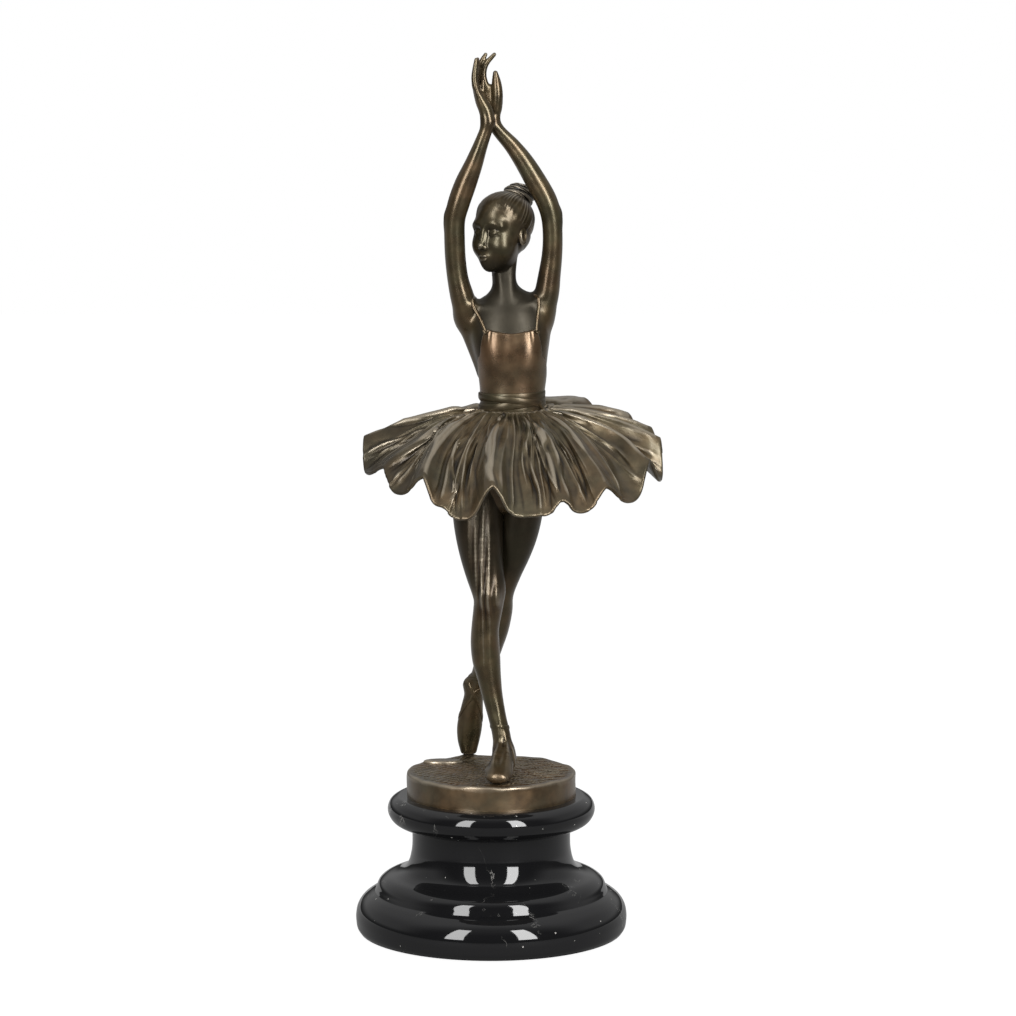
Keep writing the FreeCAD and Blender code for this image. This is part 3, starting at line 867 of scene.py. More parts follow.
rightArm = sculpt("right_arm_skin", rightArmField, (-20, -15, 174), (4, 8, 272), 0.30, belowHand)
trim(rightArm, rightCut, -1)
largestOnly(rightArm)
leftArm = sculpt("left_arm_skin", leftArmField, (-9, -10, 174), (29, 8, 272), 0.30, belowHand)
trim(leftArm, leftCut, -1)
largestOnly(leftArm)
bust = sculpt("bust_skin", upperField, (-20, -16, 134), (30, 16, 190), 0.36, 1.0)
trim(bust, rightCut, 1, onlyX=(-30, -2.0))
trim(bust, leftCut, 1, onlyX=(13.6, 40))
trim(bust, neckCut, 1)
largestOnly(bust)


def chestDull(p):
    high = 1 - step01(188, 198, p[:, 2])
    return high * (1 - step01(9.5, 14.5, np.abs(p[:, 0] - 6.5)))


for piece, node, field in ((rightArm, "right_arm", rightArmField), (leftArm, "left_arm", leftArmField),
                           (bust, "bust", upperField)):
    markRelief(piece, field, weight=lambda p: 0.5 - 0.25 * step01(236, 246, p[:, 2]))
    storeValues(piece, "dullAndShade", chestDull(pointsOf(piece)))
    finishPiece(piece, bronze, "bronze", node)


head = {"centre": (4.0, 0.4, 202.2), "turn": -40.0, "hair": 0.75, "strands": 46}
headAxes = turned(head["turn"])


def inHead(p):
    return (p - np.asarray(head["centre"], p.dtype)) @ headAxes.T.astype(p.dtype)


browLine = tube([(1.5, -9.8, 2.4, 0.55), (3.6, -9.35, 3.2, 0.55), (6.0, -7.9, 2.6, 0.5)], 3)
lashLine = tube([(1.8, -9.7, -0.75, 0.16), (3.4, -10.45, -1.15, 0.2), (5.3, -9.4, -0.6, 0.16)], 3)
lidCrease = tube([(1.7, -9.8, 1.1, 0.12), (3.5, -10.2, 1.55, 0.14), (5.5, -9.0, 1.0, 0.12)], 3)
upperLip = tube([(-2.3, -9.75, -9.0, 0.25), (-1.0, -10.6, -8.5, 0.5), (0, -10.7, -8.62, 0.46),
                 (1.0, -10.6, -8.5, 0.5), (2.3, -9.75, -9.0, 0.25)], 3)
lowerLip = tube([(-2.0, -9.8, -9.2, 0.25), (-0.9, -10.4, -9.75, 0.52), (0, -10.5, -9.82, 0.55),
                 (0.9, -10.4, -9.75, 0.52), (2.0, -9.8, -9.2, 0.25)], 3)
eye = np.array([3.5, -8.15, -0.2])


def faceField(q):
    m = q.copy()
    m[:, 0] = np.abs(m[:, 0])
    d = egg(q, (0, 1.4, 4.3), (9.6, 11.8, 10.0))                                   # skull
    d = blendMin(d, egg(q, (0, -2.2, -1.6), (8.4, 8.4, 9.4)), 3.0)                 # face
    d = blendMin(d, egg(q, (0, -2.9, -7.2), (6.7, 6.6, 6.6)), 3.0)                 # jaw
    d = blendMin(d, ball(q, (0, -7.0, -11.9), 2.4), 3.2)                           # chin
    d = blendMin(d, ball(m, (4.6, -5.4, -4.8), 3.4), 3.6)                          # cheek
    d = blendMin(d, egg(q, (0, -6.4, -8.9), (3.5, 3.8, 2.9)), 2.6)                 # round the mouth
    d = blendMin(d, browLine(m), 3.0)
    d = blendMax(d, -egg(m, (3.6, -12.1, 0.3), (3.1, 2.0, 1.8)), 2.8)              # eye socket
    d = blendMin(d, egg(m, eye, (2.3, 1.8, 1.5)), 0.8)                             # eye under its lowered lid
    d = blendMax(d, -lashLine(m), 0.3)
    d = blendMax(d, -lidCrease(m), 0.45)
    d = blendMin(d, stick(q, (0, -9.8, 1.8), (0, -11.8, -4.5), 0.75, 0.95), 2.0)   # nose
    d = blendMin(d, ball(q, (0, -11.9, -4.8), 1.05), 0.9)
    d = blendMin(d, ball(m, (1.2, -10.9, -5.4), 0.72), 0.8)
    d = blendMax(d, -ball(m, (0.65, -11.5, -6.25), 0.36), 0.4)
    d = blendMax(d, -stick(q, (0, -11.6, -6.6), (0, -11.5, -7.7), 0.3, 0.35), 0.6)
    d = blendMin(d, upperLip(q), 0.45)
    d = blendMin(d, lowerLip(q), 0.45)
    ear = egg(m, (9.0, 1.5, -1.3), (1.15, 2.2, 3.5))
    ear = blendMax(ear, -egg(m, (10.4, 1.1, -0.9), (0.95, 1.2, 2.2)), 0.6)
    return blendMin(d, ear, 0.6)


bunAxis = unit((0.02, 0.62, 0.80))
bunSide = unit(np.cross(bunAxis, (1, 0, 0)))
bunUp = np.cross(bunAxis, bunSide)


# The combed cap of hair, drawn back in strands to the knot.
def hairField(q):
    edge = 0.72 * q[:, 1] + 0.69 * q[:, 2] - 0.35 + 0.02 * q[:, 0] ** 2 * step01(0, 5, q[:, 2])
    edge = np.minimum(edge, (q[:, 2] + 8.0) * 0.8)
    ax, bx = q @ bunSide.astype(q.dtype), q @ bunUp.astype(q.dtype)
    turn = np.arctan2(bx, ax)
    away = np.sqrt(ax ** 2 + bx ** 2)
    wander = 4.5 * np.sin(3 * turn + 0.2 * away) + 1.6 * np.sin(8 * turn - 0.4 * away)
    strand = np.cos(turn * head["strands"] + wander)
    lock = np.cos(turn * 11 + 2.6 * np.sin(3 * turn + 0.25 * away) + 1.2 * np.sin(5 * turn + 1.0))
    body = np.minimum(egg(q, (0, 1.4, 4.3), (9.6, 11.8, 10.0)), egg(q, (0, 1.4, -1.6), (8.7, 9.4, 8.6)))
    depth = head["hair"] * step01(-0.8, 5.0, edge) - 0.35 * (1 - step01(-1.0, 0.8, edge))
    comb = (0.055 * strand + 0.06 * lock) * step01(2.0, 6.0, away) * step01(0.0, 6.5, edge)
    return body - depth - comb


def headField(p):
    q = inHead(p)
    d = blendMin(faceField(q), neckTube(p), 2.6)
    return blendMin(d, hairField(q), 0.35)


headPiece = sculpt("head", headField, (-12, -16, 182), (19, 19, 222), 0.25, 0.05)
trim(headPiece, neckCut, -1)
largestOnly(headPiece)
markRelief(headPiece, headField, (0.35, 1.2), lambda p: 0.45 + 0.55 * step01(-5, 0, inHead(p)[:, 1]))
storeValues(headPiece, "dullAndShade", np.maximum(chestDull(pointsOf(headPiece)), 0.35))
finishPiece(headPiece, bronze, "bronze")

knot = {"centre": (10.0, 8.3, 215.0), "size": (6.0, 5.9, 5.0), "pitch": 2.3}


def knotField(p):
    q = (p - np.asarray(knot["centre"], p.dtype)) @ headAxes.T.astype(p.dtype)
    ax, bx, cx = q @ bunSide.astype(q.dtype), q @ bunUp.astype(q.dtype), q @ bunAxis.astype(q.dtype)
    turn = np.arctan2(bx, ax)
    coil = np.cos(turn - 2 * math.pi * cx / knot["pitch"])
    fine = np.cos(3 * turn + 2 * math.pi * cx / 0.8)
    d = egg(p, knot["centre"], knot["size"], headAxes)
    d = d - 0.34 * coil - 0.09 * fine
    ring = np.sqrt((np.sqrt(ax ** 2 + bx ** 2) - 3.6) ** 2 + (cx + 3.6) ** 2) - 0.9
    return blendMin(d, ring, 0.5)


bun = sculpt("hair_knot", knotField, (3, 1, 208), (18, 16, 222), 0.25)
markRelief(bun, knotField, (0.35, 0.9))
finishPiece(bun, bronzeHair, "bronze", "hair_bun")


def bodiceTop(p):
    turn = np.degrees(np.arctan2(p[:, 0] - 7.4, -(p[:, 1] - 0.2)))
    a = np.abs(turn)
    dip = 0.9 * (1 - step01(5, 40, a))
    corner = 0.5 * np.exp(-((a - 47) / 7) ** 2)
    return 166.2 - dip + corner - 9.0 * step01(50, 64, a) - 13.0 * step01(64, 110, a)


def bodyField(p):
    d = trunkTube(p)
    for x in (2.4, 12.8):
        d = blendMin(d, egg(p, (x, -5.3, 159.0), (4.6, 3.9, 10.0)), 3.5)
    return d


def bodiceField(p):
    turn = np.degrees(np.arctan2(p[:, 0] - 7.4, -(p[:, 1] - 0.2)))
    drawn = step01(160, 166, p[:, 2])
    gather = 0.10 * drawn * np.exp(-((np.abs(turn) - 44) / 11) ** 2) * np.cos(np.radians(turn) * 42)
    d = bodyField(p) - 0.5 - gather
    return blendMax(blendMax(d, p[:, 2] - bodiceTop(p), 0.45), 139.5 - p[:, 2], 0.45)


def belowEdge(p):
    return 1.0 - 0.85 * step01(156, 162, p[:, 2])


bodice = sculpt("bodice_cloth", bodiceField, (-12, -15, 133), (26, 14, 170), 0.34, belowEdge)
markRelief(bodice, bodiceField, weight=0.6)
finishPiece(bodice, bronzeCloth, "bronze", "bodice")


# What the straps lie on: the skin above the bodice.
def chestField(p):
    return np.minimum(upperField(p), bodiceField(p))


strapPaths = {
    "strap_right_front": [(-2.6, -9.0, 165.6), (-4.4, -8.6, 169.0), (-6.2, -6.4, 173.6), (-6.9, -2.4, 177.2)],
    "strap_right_back": [(-6.9, -2.4, 177.2), (-6.6, 3.0, 177.4), (-5.0, 9.0, 171.0), (-2.6, 11.0, 160.0),
                         (-1.4, 10.6, 150.5)],
    "strap_left_front": [(18.0, -8.6, 165.6), (18.6, -8.4, 169.4), (18.5, -6.6, 173.6), (17.6, -2.4, 177.6)],
    "strap_left_back": [(17.6, -2.4, 177.6), (17.2, 3.2, 177.8), (15.8, 9.4, 171.0), (14.6, 11.0, 160.0),
                        (14.4, 10.4, 150.5)],
}
for name, rows in strapPaths.items():
    strap = ribbonOn(name, upperField, rows, 1.2, 0.7, 0.3, taper=0.9, even=40)
    finishPiece(strap, bronze, "bronze")
for name, x, y in (("tie_right", -2.4, -9.2), ("tie_left", 17.8, -8.9)):
    for k, (dx, dz) in enumerate(((-1.7, 1.3), (1.6, 1.0))):
        rows = [(x, y, 165.4), (x + dx * 0.5, y, 165.4 + dz * 0.7), (x + dx, y, 165.4 + dz)]
        tie = ribbonOn(f"{name}_{k}", chestField, rows, 0.9, 0.6, 0.3, taper=0.5, steps=6)
        finishPiece(tie, bronze, "bronze")


def waistField(p):
    return trunkTube(p) - 0.35


def sashField(p):
    d = waistField(p)
    return blendMax(d, np.abs(p[:, 2] - 139.3) - 3.7, 0.6)


sash = sculpt("waist_sash", sashField, (-8, -13, 132), (24, 14, 147), 0.34)
markRelief(sash, sashField)
storeValues(sash, "dullAndShade", 0.4)
finishPiece(sash, bronze, "bronze", "sash")

# wraps: middle height, tilt, where it is highest (degrees from -Y towards +X), width
wraps = [(137.0, 0.5, -60, 3.6), (141.8, 0.4, 100, 3.0), (138.8, 1.6, 95, 3.0), (140.3, 1.5, -75, 2.6)]
for i, (height, tilt, highest, width) in enumerate(wraps):
    turns = np.radians(np.arange(0, 360, 20))
    rows = [(7.7 + 13 * math.sin(a), 0.5 - 10 * math.cos(a),
             height + tilt * math.cos(a - math.radians(highest))) for a in turns]
    wrap = ribbonOn(f"sash_wrap_{i}", waistField, rows, width, 0.62, 0.05 + 0.16 * i, closed=True, steps=6)
    storeValues(wrap, "dullAndShade", 0.4)
    finishPiece(wrap, bronze, "bronze")
tailRows = [(17.6, -5.6, 139.6), (19.6, -3.6, 137.4), (20.8, -2.4, 135.6)]
tail = ribbonOn("sash_tail", waistField, tailRows, 2.2, 0.8, 0.6, taper=0.5, steps=8)
finishPiece(tail, bronze, "bronze")


skirtShape = {"centre": (8.0, 0.5), "waist": (12.7, 9.7), "waistHeight": 136.4, "thickness": 1.3,
              "rows": 72, "lip": 4, "sharpness": 2.1, "columns": (2.6, 1.7), "hemRelief": 0.35, "seed": 11}
# folds between the crests: how many, their run (0 waist, 1 hem), height, width and slant
folds = {
    "ridges": {"count": 84, "begin": (-0.1, 0.30), "end": (0.38, 1.02), "rise": (0.30, 0.95),
               "wide": (0.45, 1.0), "drift": 7},
    "creases": {"count": 62, "furrows": 46, "begin": (0.05, 0.4), "end": (0.8, 1.3), "rise": (0.55, 1.25),
                "wide": (0.30, 0.58), "drift": 9},
    "swells": {"count": 34, "begin": (0.0, 0.25), "end": (0.85, 1.25), "rise": (0.7, 1.7), "wide": (0.9, 1.6),
               "drift": 5},
}
# crests and troughs of the hem: angle from -Y towards +X, radius, height
hemPoints = [
    (-172, 55.0, 125.0), (-160, 54.0, 128.6), (-149, 55.5, 122.5), (-138, 54.0, 128.0), (-126, 55.5, 121.5),
    (-114, 54.5, 126.5), (-102, 56.0, 119.0), (-90, 55.0, 126.8), (-76, 55.5, 114.6), (-62, 53.5, 118.0),
    (-49, 55.0, 109.6), (-37, 53.5, 116.2), (-29, 54.0, 106.2), (-20, 54.0, 101.8), (-7.5, 54.5, 114.2),
    (3, 54.0, 103.4), (11, 54.0, 103.6), (19.5, 53.5, 108.8), (27, 54.5, 104.2), (38.5, 54.5, 112.6),
    (50.5, 55.5, 106.5), (67, 54.5, 120.0), (78, 56.0, 111.8), (89, 54.8, 126.2), (98, 56.0, 119.5),
    (107, 54.5, 128.6), (116, 55.5, 122.0), (127, 55.0, 132.5), (137, 56.0, 125.5), (150, 55.5, 137.0),
    (163, 56.0, 127.5), (176, 54.5, 131.0),
]


def foldSet(random, kind, middle, sign=1):
    n, drift = len(middle), kind["drift"]
    spans = [random.uniform(*kind[label], n) for label in ("begin", "end", "rise", "wide")]
    spans[2] = spans[2] * sign
    return np.stack([middle, *spans, random.uniform(-drift, drift, n), random.uniform(0, 6.28, n)], 1)


# all folds in one table: middle angle, begin, end, rise, width, slant, wobble
def skirtFolds(random):
    n = folds["ridges"]["count"]
    middle = random.uniform(-180, 180, n)
    middle[: n // 2] = random.uniform(-75, 75, n // 2)
    ridges = foldSet(random, folds["ridges"], middle)
    order = np.arange(folds["creases"]["count"] + folds["creases"]["furrows"])
    middle = random.uniform(-1, 1, len(order)) * np.where(order % 3 == 0, 180, 95)
    sign = np.where(order >= folds["creases"]["count"], -0.7, 1)         # furrows go in
    creases = foldSet(random, folds["creases"], middle, sign)
    n = folds["swells"]["count"]
    middle = np.arange(n) * 360 / n - 180 + random.uniform(-4, 4, n)
    return np.vstack([ridges, creases, foldSet(random, folds["swells"], middle)])


# Top side of the sheet, rows from the waist out to the hem, columns all the way round.
def skirtSurface():
    s = skirtShape
    random = np.random.default_rng(s["seed"])
    pts = np.array(hemPoints)
    nextPts = np.vstack([pts[1:], pts[:1] + (360, 0, 0)])
    start, span, t = [], [], []
    for a, b in zip(pts[:, 0], nextPts[:, 0]):
        count = int(round((b - a) * s["columns"][0 if abs((a + b) / 2) < 105 else 1]))     # denser in front
        start += [a] * count
        span += [b - a] * count
        t += list(np.arange(count) / count)
    which = np.searchsorted(pts[:, 0], np.array(start), side="right") - 1
    start, span, t = np.array(start), np.array(span), np.array(t)
    h0, h1, r0, r1 = pts[which, 2], nextPts[which, 2], pts[which, 1], nextPts[which, 1]
    high = h0 > h1
    u = np.where(high, t, 1 - t)                                  # 0 on the crest, 1 in the trough
    crest, trough = np.maximum(h0, h1), np.minimum(h0, h1)
    rc, rt = np.where(high, r0, r1), np.where(high, r1, r0)
    plain = start + span * t
    bend = random.normal(0, 1, len(pts))
    bend = bend[which] * (1 - t) + np.roll(bend, -1)[which] * t
    slope = random.normal(0, 1, len(pts))
    slope = slope[which] * (1 - t) + np.roll(slope, -1)[which] * t
    table = skirtFolds(random)
    rows = s["rows"]
    out = np.zeros((rows, len(t), 3))
    added = np.zeros((rows, len(t)))
    for i, reach in enumerate(np.linspace(0, 1, rows)):
        sharp = 1.3 + (s["sharpness"] - 1.3) * (1 - reach) ** 0.8
        w = (1 - np.cos(math.pi * np.clip(u, 0, 1) ** (1 / sharp))) / 2
        fullness = 0.28 * reach ** 1.5 - 0.35 * (1 - reach)         # fuller at the hem, sharper at the waist
        shift = t + fullness / (2 * math.pi) * np.sin(2 * math.pi * t)
        ang = start + span * shift
        ang = ang + 15 * np.sin(np.radians(ang)) * (1 - reach) ** 1.3
        ang = ang - 10 * np.exp(-((plain + 40) / 22) ** 2) * (1 - reach) ** 1.2
        ang = ang + math.sin(math.pi * reach) * (2.6 * bend * math.sin(2.4 * math.pi * reach) + 2.2 * slope)
        th = np.radians(ang)
        mean = 119.5 - 11.5 * np.cos(np.radians(plain)) - 1.5 * np.sin(np.radians(plain))
        mean = np.where(plain < -95, np.minimum(mean, 124.5), mean)
        hem = crest + (trough - crest) * w
        radius = rc + (rt - rc) * w
        fold = (hem - mean) * (1.15 * reach - 0.15 * reach ** 2)
        early = 0.5 + 0.13 * np.maximum(0, -np.sin(th))               # the right hip side drops sooner
        fall = (s["waistHeight"] - mean) * (early * reach + (1 - early) * reach ** 2)
        wideAt = s["waist"][0] + (radius - s["waist"][0]) * reach
        deepAt = s["waist"][1] + (radius - s["waist"][1]) * reach
        out[i] = np.stack([s["centre"][0] + wideAt * np.sin(th), s["centre"][1] - deepAt * np.cos(th),
                           s["waistHeight"] - fall + fold], 1)
        calm = 1 - 0.6 * step01(0.9, 1.0, reach)
        for middle, begin, end, rise, wide, drift, wave in table:
            away = plain - middle - drift * (reach - 0.5) - 1.2 * math.sin(5 * reach + wave)
            off = (away + 180) % 360 - 180
            near = np.abs(off) < 12
            x = np.radians(off[near]) * (12 + 43 * reach)
            strength = step01(begin, begin + 0.12, reach) * (1 - step01(end - 0.25, end, reach))
            size = wide * (0.55 + 0.9 * reach)
            added[i, near] += calm * rise * strength * np.exp(-(np.sqrt(x ** 2 + 0.01) / size) ** 1.15)
        gather = 0.5 * (1 - step01(0.10, 0.45, reach)) * step01(0, 0.05, reach)
        added[i] += gather * np.cos(np.radians(plain) * 58 + 2.5 * np.sin(np.radians(plain) * 7))
    return out, added


def sheetNormal(top):
    du = np.roll(top, -1, 1) - np.roll(top, 1, 1)
    normal = np.cross(np.gradient(top, axis=0), du)
    normal /= np.maximum(np.linalg.norm(normal, axis=2, keepdims=True), 1e-9)
    return -normal if normal[..., 2].mean() < 0 else normal


# Quads between rings of points; wrap also joins the last ring to the first.
def ringQuads(count, columns, wrap):
    r, c = np.meshgrid(np.arange(count if wrap else count - 1), np.arange(columns), indexing="ij")
    n, below = (c + 1) % columns, (r + 1) % count
    corners = [r * columns + c, below * columns + c, below * columns + n, r * columns + n]
    return np.stack(corners, -1).reshape(-1, 4)


# Closes a sheet that runs all the way round into a thin shell with a rounded hem.
def shellMesh(name, top, thickness, lip):
    normal = sheetNormal(top)
    under = top - normal * thickness
    outward = top[-1] - top[-3]
    outward /= np.linalg.norm(outward, axis=1, keepdims=True)
    middle = (top[-1] + under[-1]) / 2
    turns = np.linspace(0, math.pi, lip + 2)[1:-1]
    half = thickness / 2
    edge = [middle + normal[-1] * half * math.cos(a) + outward * half * math.sin(a) for a in turns]
    rings = np.concatenate([top, np.array(edge), under[::-1]])
    return meshObject(name, rings.reshape(-1, 3), ringQuads(*rings.shape[:2], True))


top, added = skirtSurface()
top = top + sheetNormal(top) * added[..., None]
skirt = shellMesh("pleated_skirt", top, skirtShape["thickness"], skirtShape["lip"])
rows, lip = skirtShape["rows"], skirtShape["lip"]
atHem = np.ones((2 * rows + lip, top.shape[1]))
atHem[rows - 3:rows + lip + 3] = skirtShape["hemRelief"]      # the rolled hem gets less wear and less painted highlight than the crests
markMeshRelief(skirt, [(6, 10.0), (45, 1.1)], atHem.ravel())
# painted shade: the skirt's left side is darkened and dulled
storeValues(skirt, "dullAndShade", 0.6 * step01(-12, -36, pointsOf(skirt)[:, 0]))
finishPiece(skirt, bronzeSkirt, "bronze", "skirt")
print("skirt ready", len(skirt.data.polygons) * 2, "triangles")


frontLegRows = [
    (-4.3, 1.0, 112.0, 9.6, 10.0), (-4.9, 0.2, 104.0, 9.6, 9.8), (-4.9, -0.8, 97.0, 9.4, 9.3),
    (-4.4, -1.9, 90.0, 8.9, 8.8), (-3.6, -3.0, 83.0, 8.1, 8.0), (-2.4, -4.2, 76.0, 7.2, 7.2),
    (-1.0, -5.2, 70.0, 6.5, 6.6), (-0.8, -5.2, 65.8, 5.7, 6.1), (-1.4, -4.9, 61.0, 5.4, 5.7),
    (-2.2, -4.4, 55.0, 5.2, 5.7), (-2.3, -3.9, 49.0, 5.4, 6.0), (-1.8, -3.8, 43.0, 5.3, 5.7),
    (-1.1, -4.1, 38.6, 4.75, 5.2), (0.4, -4.8, 30.0, 3.9, 4.3), (2.4, -5.6, 21.0, 3.4, 3.9),
    (3.7, -6.0, 15.5, 3.4, 3.9), (4.4, -6.0, 10.5, 3.6, 4.3),
]
frontFootRows = [
    (5.0, -1.6, 3.6, 3.9, 3.4), (5.0, -6.5, 6.0, 4.5, 5.6), (4.4, -11.5, 6.4, 4.5, 5.4),
    (3.6, -17.0, 4.6, 5.0, 4.0), (2.9, -22.0, 3.2, 5.1, 3.1), (2.4, -25.2, 2.4, 4.3, 2.3),
]
rearLegRows = [
    (11.6, 3.0, 112.0, 9.2, 10.0), (11.2, 3.6, 104.0, 8.9, 9.6), (10.6, 4.2, 97.0, 8.6, 9.3),
    (9.4, 5.0, 90.0, 8.2, 8.8), (7.9, 6.2, 83.0, 7.2, 8.0), (5.8, 7.4, 76.0, 6.2, 7.0),
    (3.4, 8.6, 69.0, 5.8, 6.3), (2.6, 9.4, 64.5, 5.6, 6.0), (2.5, 10.8, 60.0, 5.6, 5.8),
    (1.4, 13.0, 53.0, 5.4, 6.0), (0.0, 15.0, 47.0, 4.9, 5.8), (-1.6, 16.8, 41.0, 4.4, 5.3),
    (-3.8, 18.6, 34.5, 3.6, 4.5), (-5.8, 20.0, 29.0, 3.3, 3.9), (-6.9, 20.8, 24.0, 3.8, 3.9),
    (-7.6, 21.4, 19.0, 4.4, 3.7), (-8.4, 22.3, 13.0, 4.8, 3.7), (-8.8, 23.0, 8.0, 4.3, 3.4),
    (-8.8, 23.5, 3.8, 3.3, 3.0),
]
frontLegTube, frontFootTube, rearLegTube = tube(frontLegRows), tube(frontFootRows), tube(rearLegRows)


def frontLegField(p):
    d = frontLegTube(p)
    d = blendMin(d, egg(p, (-0.6, -10.2, 67.4), (3.0, 2.2, 3.6)), 3.0)      # kneecap
    d = blendMin(d, frontFootTube(p), 2.6)
    fan = np.arctan2(p[:, 0] - 4.2, -(p[:, 1] - 6.0))                       # folds down the instep
    toe = step01(-8, -12, p[:, 1]) * step01(-25, -19, p[:, 1]) * step01(2.0, 4.0, p[:, 2])
    d = d + 0.36 * toe * np.cos(fan * 40 + 0.6 + 1.5 * np.sin(fan * 9 + 0.2 * p[:, 1]))
    return blendMax(d, -p[:, 2], 0.4)


def rearLegField(p):
    d = rearLegTube(p)
    d = blendMin(d, ball(p, (-8.0, 20.6, 29.4), 3.0), 2.4)                  # heel
    return blendMax(d, 2.0 - p[:, 2], 0.4)


def overFeet(p):
    return 1.0 - 0.85 * (1 - step01(14, 22, p[:, 2]))


frontLeg = sculpt("front_leg_skin", frontLegField, (-17, -31, -2), (12, 14, 124), 0.4, overFeet)
rearLeg = sculpt("rear_leg_skin", rearLegField, (-17, -10, 0), (24, 31, 124), 0.4, overFeet)
for piece, node, field in ((frontLeg, "front_leg", frontLegField), (rearLeg, "rear_leg", rearLegField)):
    markRelief(piece, field, weight=0.7)
    # painted shadow: the legs darken towards the top, where the skirt shades them
    storeValues(piece, "dullAndShade", 0.75 * step01(58, 82, pointsOf(piece)[:, 2]))
    finishPiece(piece, bronze, "bronze", node)

# shoe ribbons: round the ankles, and crossed down the instep of the raised heel
shoeRibbons = {
    "front_ankle": (frontLegField, True,
                    [(4.2, -9.8, 18.6), (7.4, -6.4, 18.0), (4.6, -1.8, 17.6), (0.2, -5.6, 18.0)]),
    "rear_ankle": (rearLegField, True,
                   [(-2.4, 19.0, 33.4), (-5.6, 15.6, 32.6), (-8.6, 19.6, 33.0), (-5.0, 23.0, 34.0)]),
    "rear_cross_a": (rearLegField, False,
                     [(-2.6, 18.8, 31.0), (-6.4, 16.8, 26.5), (-10.2, 18.4, 21.5), (-12.6, 21.8, 16.0)]),
    "rear_cross_b": (rearLegField, False,
                     [(-8.8, 18.6, 31.0), (-7.0, 16.8, 26.5), (-4.4, 18.2, 21.5), (-3.6, 21.6, 15.0)]),
}
for name, (field, closed, rows) in shoeRibbons.items():
    ribbon = ribbonOn("shoe_ribbon_" + name, field, rows, 1.6, 0.45, 0.06, closed=closed, even=8)
    finishPiece(ribbon, bronze, "bronze")

hipRows = [(7.8, 0.6, 136.0, 12.2, 9.2), (6.6, 1.2, 129.0, 14.0, 10.6), (4.8, 1.8, 121.0, 16.0, 12.0),
           (3.6, 2.0, 113.0, 16.8, 12.0), (3.4, 2.2, 106.0, 15.0, 10.0)]
hipsTube = tube(hipRows)
hipsPiece = sculpt("hips_skin", hipsTube, (-20, -16, 90), (28, 20, 150), 0.5)
markRelief(hipsPiece, hipsTube)
finishPiece(hipsPiece, bronze, "bronze", "hips")
print("legs ready")


# radius and height of the turned marble; a row with 1 at its end is a sharp corner
marbleProfile = [
    (49.7, 1.0, 1), (50.7, 2.6, 0), (51.05, 4.8, 0), (51.1, 7.2, 0), (50.5, 10.2, 0), (48.8, 12.9, 0),
    (46.2, 14.9, 0), (43.9, 16.1, 1), (43.3, 17.6, 0), (42.2, 19.9, 0), (39.6, 21.7, 0), (35.6, 22.9, 0),
    (32.8, 24.5, 0), (31.1, 27.2, 0), (30.2, 30.6, 0), (29.8, 34.0, 0), (29.8, 38.6, 0), (30.0, 40.6, 1),
    (33.4, 41.2, 0), (36.8, 42.9, 0), (38.6, 45.4, 0), (39.0, 48.0, 0), (37.9, 50.6, 0), (35.4, 52.2, 0),
    (33.6, 52.4, 1), (3.6, 52.4, 1), (3.6, 17.0, 1), (14.0, 17.0, 1), (14.0, 1.0, 1), (49.7, 1.0, 1),
]


# Smooth between sharp corners, straight where two corners follow each other.
def profileLine(rows, steps):
    line, run = [], []
    for row in rows:
        run.append(row[:2])
        if row[2] and len(run) > 1:
            piece = smoothRows(run, steps) if len(run) > 2 else np.array(run, float)
            line += [tuple(p) for p in piece[:-1]]
            run = [row[:2]]
    line.append(rows[-1][:2])
    return np.array(line)


profile = profileLine(marbleProfile, 6)
profile3 = np.stack([profile[:, 0], np.zeros(len(profile)), profile[:, 1]], 1) * mm
base = growMesh("marble_turned", profile3, latheTree, Steps=320, Rows=len(profile), Material=marble)
bm = bmesh.new()
bm.from_mesh(base.data)
if bm.calc_volume(signed=True) < 0:
    bmesh.ops.reverse_faces(bm, faces=bm.faces[:])
bm.to_mesh(base.data)
bm.free()
base.data.set_sharp_from_angle(angle=math.radians(32))
finishPiece(base, marble, "black_marble", "marble_base")


ground = {"radius": 31.8, "rings": 150, "spokes": 420, "height": 9.1, "seed": 5}


# Uneven waves, each with its own length, direction and start; about -1 to 1.
def rippling(x, y, count, waveX, waveY, random):
    total = np.zeros_like(x)
    for _ in range(count):
        kx = 2 * math.pi / (waveX * random.uniform(0.7, 1.6)) * random.choice([-1, 1])
        ky = 2 * math.pi / (waveY * random.uniform(0.7, 1.6))
        total = total + np.cos(kx * x + ky * y + random.uniform(0, 6.28))
    return total / math.sqrt(count)


def ringAt(radius, turn, z):
    return np.stack([radius * np.sin(turn), -radius * np.cos(turn), z + 0 * turn], 1)


